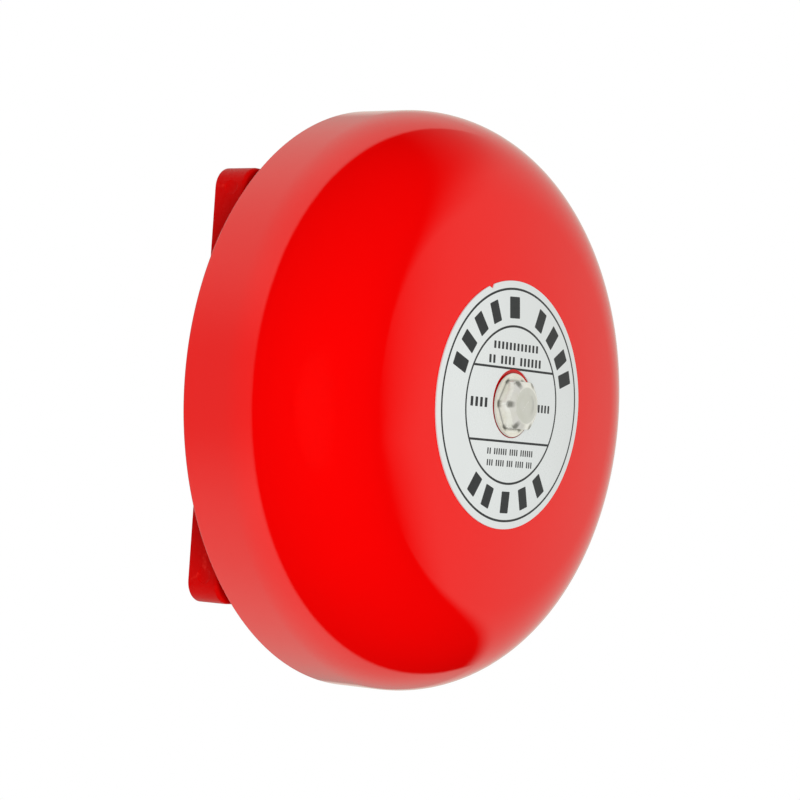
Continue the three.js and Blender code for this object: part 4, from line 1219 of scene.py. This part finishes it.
def make_rotor():
    cam, shaft = place("snail_cam"), place("motor_shaft")
    low, rise, ahead = 5.2, 3.4, math.radians(20)
    top = cam.d1 - 1.3
    steps = 120
    outline = []
    for i in range(steps + 1):
        share = i / steps
        angle = math.pi + ahead - share * TAU
        reach = low + rise * share
        outline.append((shaft.x + reach * math.cos(angle), reach * math.sin(angle)))
    body = combined(
        [plate([outline], cam.d0, top, 0.2, 2), rod(3.2, top - 1, cam.d1, shaft.x, 0, 0.25)],
        [rod(1.25, 0, 60, shaft.x, 0, sides=32)],
    )
    piece("cam_moulding", body, "snail_cam", degrees=30)
    piece("motor_shaft_steel", rod(1.15, shaft.d0, shaft.d1, shaft.x, 0, 0.25), "motor_shaft")


# ---- Striker ----


def sleeve(name, node, outer, slack, edge):
    """A ring round the striker's rod."""
    at = place(node)
    mesh = tube_ring(outer, ROD_RADIUS + slack, 0, at.x1 - at.x0, edge)
    piece(name, lying(mesh, at.x0, 0, STRIKE), node)


def make_striker():
    at, pin = place("striker_shuttle"), place("cam_follower_pin")
    window = rectangle(18.6, 39.5, -9.6, 9.6, 2, 6)
    low, high = STRIKE - 3, STRIKE + 3
    frame_plate = plate([rectangle(at.x0, at.x1, at.y0, at.y1, 2, 6), window], low, high, 0.3, 3)
    lug = block_of(17.8, pin.x, -2.3, 2.3, low, high, 0, 0.25)
    boss = lying_rod(4, 39.6, at.x1, 0.3, 56)
    body = combined(
        [frame_plate, lug, boss],
        [rod(1.6, 0, 40, pin.x, 0, sides=32), lying_rod(ROD_RADIUS + 0.13, 39, at.x1 + 1)],
    )
    piece("shuttle_moulding", body, "striker_shuttle", degrees=30)
    piece("follower_pin_steel", rod(1.5, pin.d0, pin.d1, pin.x, 0, 0.3), "cam_follower_pin")

    along = place("striker_rod")
    groove = ROD_RADIUS - 0.25
    length = along.x1 - along.x0
    profile = [(0, 0), (ROD_RADIUS, 0), (ROD_RADIUS, 16.6), (groove, 16.8), (groove, 17.2)]
    profile += [(ROD_RADIUS, 17.4), (ROD_RADIUS, length), (0, length)]
    piece("striker_rod_steel", lying(lathe(profile, 0.12, 48), along.x0, 0, STRIKE), "striker_rod")

    sleeve("spring_collar_brass", "spring_collar", 4.2, 0.1, 0.25)

    head = place("striker_head")
    reach, radius = head.x1 - head.x0, 4.6
    socket = ROD_RADIUS + 0.1
    nose_arc = arc(0, reach - 7.4, 7.4, math.acos(4.2 / 7.4), math.pi / 2, 8)
    corners = [(0, 2.7, 0), (socket, 2.7, 0), (socket, 0, 0.2), (radius, 0, 0.45)]
    corners += [(radius, 1.7, 0), (radius - 0.2, 1.9, 0), (radius, 2.1, 0), (radius, reach - 1.8, 0.3)]
    corners += [(r, d, 0) for r, d in nose_arc[:-1]] + [(0, reach, 0)]
    mesh = turned(rounded(corners, 0, 4), 72)
    piece("striker_head_steel", lying(mesh, head.x0, 0, STRIKE), "striker_head")

    sleeve("bush_inner_bronze", "striker_bush_inner", BUSH_RADIUS, 0.09, 0.18)
    sleeve("bush_outer_bronze", "striker_bush_outer", BUSH_RADIUS, 0.09, 0.18)
    sleeve("buffer_rubber", "stop_buffer", 4.1, 0.4, 0.3)


def tube(points, radius, sides=10):
    """A closed skin of round section along a line of points. radius is one number, or one for each point."""
    line = [Vector(p) for p in points]
    radii = radius if isinstance(radius, list) else [radius] * len(line)
    rings = []
    side = None
    for i, point in enumerate(line):
        ahead = (line[min(i + 1, len(line) - 1)] - line[max(i - 1, 0)]).normalized()
        side = (ahead.orthogonal() if side is None else side - ahead * side.dot(ahead)).normalized()
        up = ahead.cross(side)
        angles = [TAU * k / sides for k in range(sides)]
        rings.append([tuple(point + (side * math.cos(a) + up * math.sin(a)) * radii[i]) for a in angles])
    return mesh_of(*swept(rings))


def through(points, steps):
    """A smooth line through the points: a uniform Catmull-Rom spline."""
    line = [Vector(p) for p in points]
    line = [line[0] * 2 - line[1], *line, line[-1] * 2 - line[-2]]
    out = []
    for i in range(1, len(line) - 2):
        a, b, c, d = line[i - 1:i + 3]
        for s in range(steps):
            t = s / steps
            square, cube = a * 2 - b * 5 + c * 4 - d, b * 3 - a - c * 3 + d
            out.append(((b * 2) + (c - a) * t + square * t**2 + cube * t**3) / 2)
    out.append(line[-2])
    return out


def make_spring():
    at = place("striker_spring")
    wire, turns, per_turn = 0.35, 7.5, 24
    radius = 3.4
    points = []
    for i in range(int(turns * per_turn) + 1):
        share = i / (turns * per_turn)
        # Closed end coils: the pitch is one wire there and wide between.
        rise = share - 0.055 * math.sin(TAU * share)
        x = at.x0 + wire + (at.x1 - at.x0 - 2 * wire) * rise
        angle = TAU * i / per_turn
        points.append((x, radius * math.cos(angle), STRIKE + radius * math.sin(angle)))
    made = piece("striker_spring_wire", tube(points, wire), "striker_spring")
    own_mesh(made)


# ---- Board and its parts ----

board = place("circuit_board")


def make_board():
    loops = [rectangle(board.x0, board.x1, board.y0, board.y1, 2, 6)]
    loops += [circle(1.5, x, y, 28) for x, y in BOARD_POSTS]
    piece("board_laminate_sheet", plate(loops, board.d0, board.d1, 0.05), "circuit_board")


PADS = [(-13.6, 5.0), (-13.6, -5.0), (-21.0, -4.6), (-21.0, -13.4), (-19.0, 6.2), (-24.6, 10.5)]
TRACKS = [
    [(-27.6, 2.55), (-24.6, 2.55), (-24.6, 10.5)],
    [(-27.6, -2.55), (-24.2, -2.55), (-21.0, -4.6)],
    [(-19.0, 6.2), (-16.0, 5.0), (-13.6, 5.0)],
    [(-21.0, -13.4), (-17.0, -9.0), (-13.6, -5.0)],
]


def make_tracks():
    """Tinned pads and tracks on the board's face, as low raised shapes."""
    face = board.d1 - 0.02
    parts = []
    for x, y in PADS:
        parts.append(rod(1.3, face, face + 0.07, x, y, 0.03, 28))
    for line in TRACKS:
        for (x0, y0), (x1, y1) in zip(line, line[1:]):
            way = Vector((x1 - x0, y1 - y0))
            side = Vector((-way.y, way.x)).normalized() * 0.45
            outline = [(x0 + side.x, y0 + side.y), (x0 - side.x, y0 - side.y)]
            outline += [(x1 - side.x, y1 - side.y), (x1 + side.x, y1 + side.y)]
            parts.append(plate([outline], face, face + 0.055, 0.02, 1))
    made = object_of(combined(parts), "board_tracks")
    made.data.materials.append(MATERIALS["bright_steel"])
    smooth(made.data, 30)
    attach(made, "base")


def make_terminals():
    at = place("terminal_block")
    top, bottom = at.d1, at.d0
    outline = [
        (at.x0, bottom), (at.x1, bottom), (at.x1, top - 3), (at.x1 - 3, top), (at.x0 + 1.5, top),
        (at.x0, top - 2),
    ]
    body = on_edge(plate([rounded(outline, 0.35, 3)], at.y0, at.y1, 0.25, 2), 0)
    screw = place("terminal_screw_upper")
    tools = []
    for y in (2.55, -2.55):
        tools.append(block_of(at.x0 - 1, screw.x + 1.5, y - 1.7, y + 1.7, bottom + 2, bottom + 5.4, 0.2, 0.2))
        tools.append(rod(1.9, bottom + 4, top + 1, screw.x, y, sides=40))
    tools.append(block_of(at.x0 - 1, at.x1 + 1, -0.18, 0.18, top - 0.5, top + 1))
    for y in (at.y0 + 0.35, at.y1 - 0.35):
        tools.append(block_of(at.x1 - 0.35, at.x1 + 1, y - 0.5, y + 0.5, bottom - 1, top - 4))
    piece("terminal_moulding", combined([body], tools), "terminal_block", degrees=28)
    for node in ("terminal_screw_upper", "terminal_screw_lower"):
        at = place(node)
        body = rod(1.7, at.d0, at.d1, at.x, at.y, 0.2)
        slot = block_of(at.x - 2.2, at.x + 2.2, at.y - 0.3, at.y + 0.3, at.d1 - 0.7, at.d1 + 1)
        piece(f"{node}_brass", combined([body], [slot]), node)


def painted(mesh, index_of, *names):
    """Gives each face one of several materials, by its middle in the bell's own frame."""
    for name in names:
        mesh.materials.append(MATERIALS[name])
    for polygon in mesh.polygons:
        c = polygon.center / MM
        polygon.material_index = index_of(c.x, c.z, -c.y)


def make_capacitor():
    at = place("capacitor")
    radius, top = (at.x1 - at.x0) / 2, at.d1
    profile = rounded(
        [
            (0, at.d0, 0), (radius - 0.35, at.d0), (radius, at.d0 + 0.4), (radius, at.d0 + 1.1, 0.3),
            (radius - 0.32, at.d0 + 1.55, 0.2), (radius, at.d0 + 2.0, 0.3), (radius, top, 0.45),
            (radius - 0.75, top, 0.1), (radius - 0.85, top - 0.12, 0.05), (0, top - 0.12, 0),
        ],
        0.2, 4,
    )
    body = turned(profile, 64, at.x, at.y)
    scores = [block_of(at.x - 2.4, at.x + 2.4, at.y - 0.09, at.y + 0.09, top - 0.3, top + 1)]
    scores.append(block_of(at.x - 0.09, at.x + 0.09, at.y - 2.4, at.y + 2.4, top - 0.3, top + 1))
    mesh = combined([body], scores)
    piece("capacitor_can", mesh, "capacitor", degrees=30)

    def part(x, y, d):
        away = Vector((x - at.x, y - at.y))
        if d > top - 0.4 and away.length < radius - 0.8:
            return 1
        return 2 if abs(away.angle_signed(Vector((0.4, 1)), 0)) < 0.42 and at.d0 + 2 < d < top - 0.4 else 0

    painted(mesh, part, "bright_steel", "white_nylon")


def make_diode():
    at = place("diode")
    axis = at.d1 - 1.4
    lower, upper = at.y - 2.6, at.y + 2.6
    body = rod(1.4, 0, 5.2, edge=0.3)
    # Laid along y: what was d becomes y.
    body.transform(shift(at.x, lower, axis) @ Matrix.Rotation(-math.pi / 2, 4, "X"))
    legs = []
    for s, start in ((1, upper), (-1, lower)):
        far = at.y + s * 4.4
        line = [(at.x, start - s * 0.3, axis), (at.x, far - s * 0.6, axis)]
        line += [(at.x, far - s * 0.12, axis - 0.12), (at.x, far, axis - 0.6), (at.x, far, at.d0)]
        legs.append(tube(through(line, 6), 0.38, 12))
    mesh = combined([body, *legs])
    piece("diode_body", mesh, "diode")

    def part(x, y, d):
        if not lower - 0.01 < y < upper + 0.01 or math.hypot(x - at.x, d - axis) < 0.5:
            return 1
        return 2 if upper - 1.3 < y < upper - 0.5 else 0

    painted(mesh, part, "bright_steel", "white_nylon")


LEAD_CORE = 0.42
LEAD_SLEEVE = 0.7
LEAD_BARE = 1.6  # of the core shows at each end


def make_leads():
    left, right = place("motor_tab_left"), place("motor_tab_right")
    cap = place("motor_end_cap").d1
    pad = board.d1 + 0.15
    routes = {
        "lead_positive": [
            (left.x - 0.3, 0.3, cap + 1.6), (left.x - 1.3, 1.6, cap + 1.5), (left.x - 2.6, 4.4, cap + 2.6),
            (12.2, 8.4, 48.8), (6.4, 10.6, 43), (1, 11.4, 35), (-5, 11, 28.6), (-10.4, 8.2, 25.4),
            (-13.2, 5.6, 23.2), (-13.6, 5, pad),
        ],
        "lead_negative": [
            (right.x + 0.3, -0.3, cap + 1.6), (right.x + 1.3, -1.8, cap + 1.6),
            (right.x + 0.6, -4.8, cap + 3.1), (right.x - 6, -8.4, cap + 3.2),
            (18.4, -10.4, cap + 2), (10.6, -11.4, 45), (4.2, -11.6, 38), (-2, -11.4, 30.6),
            (-9.6, -8.6, 25.4), (-13.2, -5.6, 23.2), (-13.6, -5, pad),
        ],
    }
    for node, route in routes.items():
        line = through(route, 14)
        lengths = [0.0]
        for a, b in zip(line, line[1:]):
            lengths.append(lengths[-1] + (b - a).length)
        radii = [LEAD_CORE if min(at, lengths[-1] - at) < LEAD_BARE else LEAD_SLEEVE for at in lengths]
        mesh = tube(line, radii, 16)
        piece(f"{node}_wire", mesh, node, degrees=50)
        ends = [line[0], line[-1]]

        def part(x, y, d, ends=ends):
            return int(min((Vector((x, y, d)) - e).length for e in ends) < LEAD_BARE)

        painted(mesh, part, "copper")


# ---- CAD nodes that keep their own shape: the motor's hidden inside ----


CAD_BEVEL = 0.08


def dress_cad():
    """The motor's inner parts keep their CAD shapes, with their own finish and softened edges."""
    for node, o in frame["nodes"].items():
        if o.hide_render:
            continue
        for slot in o.material_slots:
            slot.material = MATERIALS[SLOT_OF[node]]
        bevel = o.modifiers.new("edges", "BEVEL")
        bevel.width, bevel.segments = CAD_BEVEL * MM, 2
        bevel.limit_method, bevel.angle_limit = "ANGLE", math.radians(40)


make_camera()
make_world()
make_key_light()
for make in (
    make_gong, make_label, make_bolt, make_base, make_seal, make_grommet, make_post, make_all_screws,
    make_gasket, make_chassis, make_motor_plate, make_motor, make_tabs, make_clamp, make_rotor, make_striker,
    make_spring, make_board, make_tracks, make_terminals, make_capacitor, make_diode, make_leads,
):
    make()
dress_cad()


# ---- Floor and view settings ----


FLOOR_LEVEL = -0.30
FLOOR_RADIUS = 1000
FLOOR_GLOW = 0.22


def make_floor():
    edge = [(0, -0.5), (FLOOR_RADIUS, -0.5), (FLOOR_RADIUS, 0.5), (0, 0.5)]
    floor = object_of(turned(edge, sides=96), "floor")
    floor.data.transform(Matrix.Rotation(math.pi / 2, 4, "X"))
    floor.location.z = FLOOR_LEVEL
    paint = surface("floor_paint", (0.86, 0.86, 0.85), (0.83, 0.83, 0.82), (0.6, 0.8), grain=300, blotch=4)
    shader = next(n for n in paint.node_tree.nodes if n.type == "BSDF_PRINCIPLED")
    shader.inputs["Emission Color"].default_value = rgba((1, 1, 1))
    shader.inputs["Emission Strength"].default_value = FLOOR_GLOW
    floor.data.materials.append(paint)
    floor.visible_glossy = False
    floor.visible_diffuse = False


make_floor()
scene = bpy.context.scene
scene.view_settings.view_transform = "Standard"
scene.view_settings.look = "None"
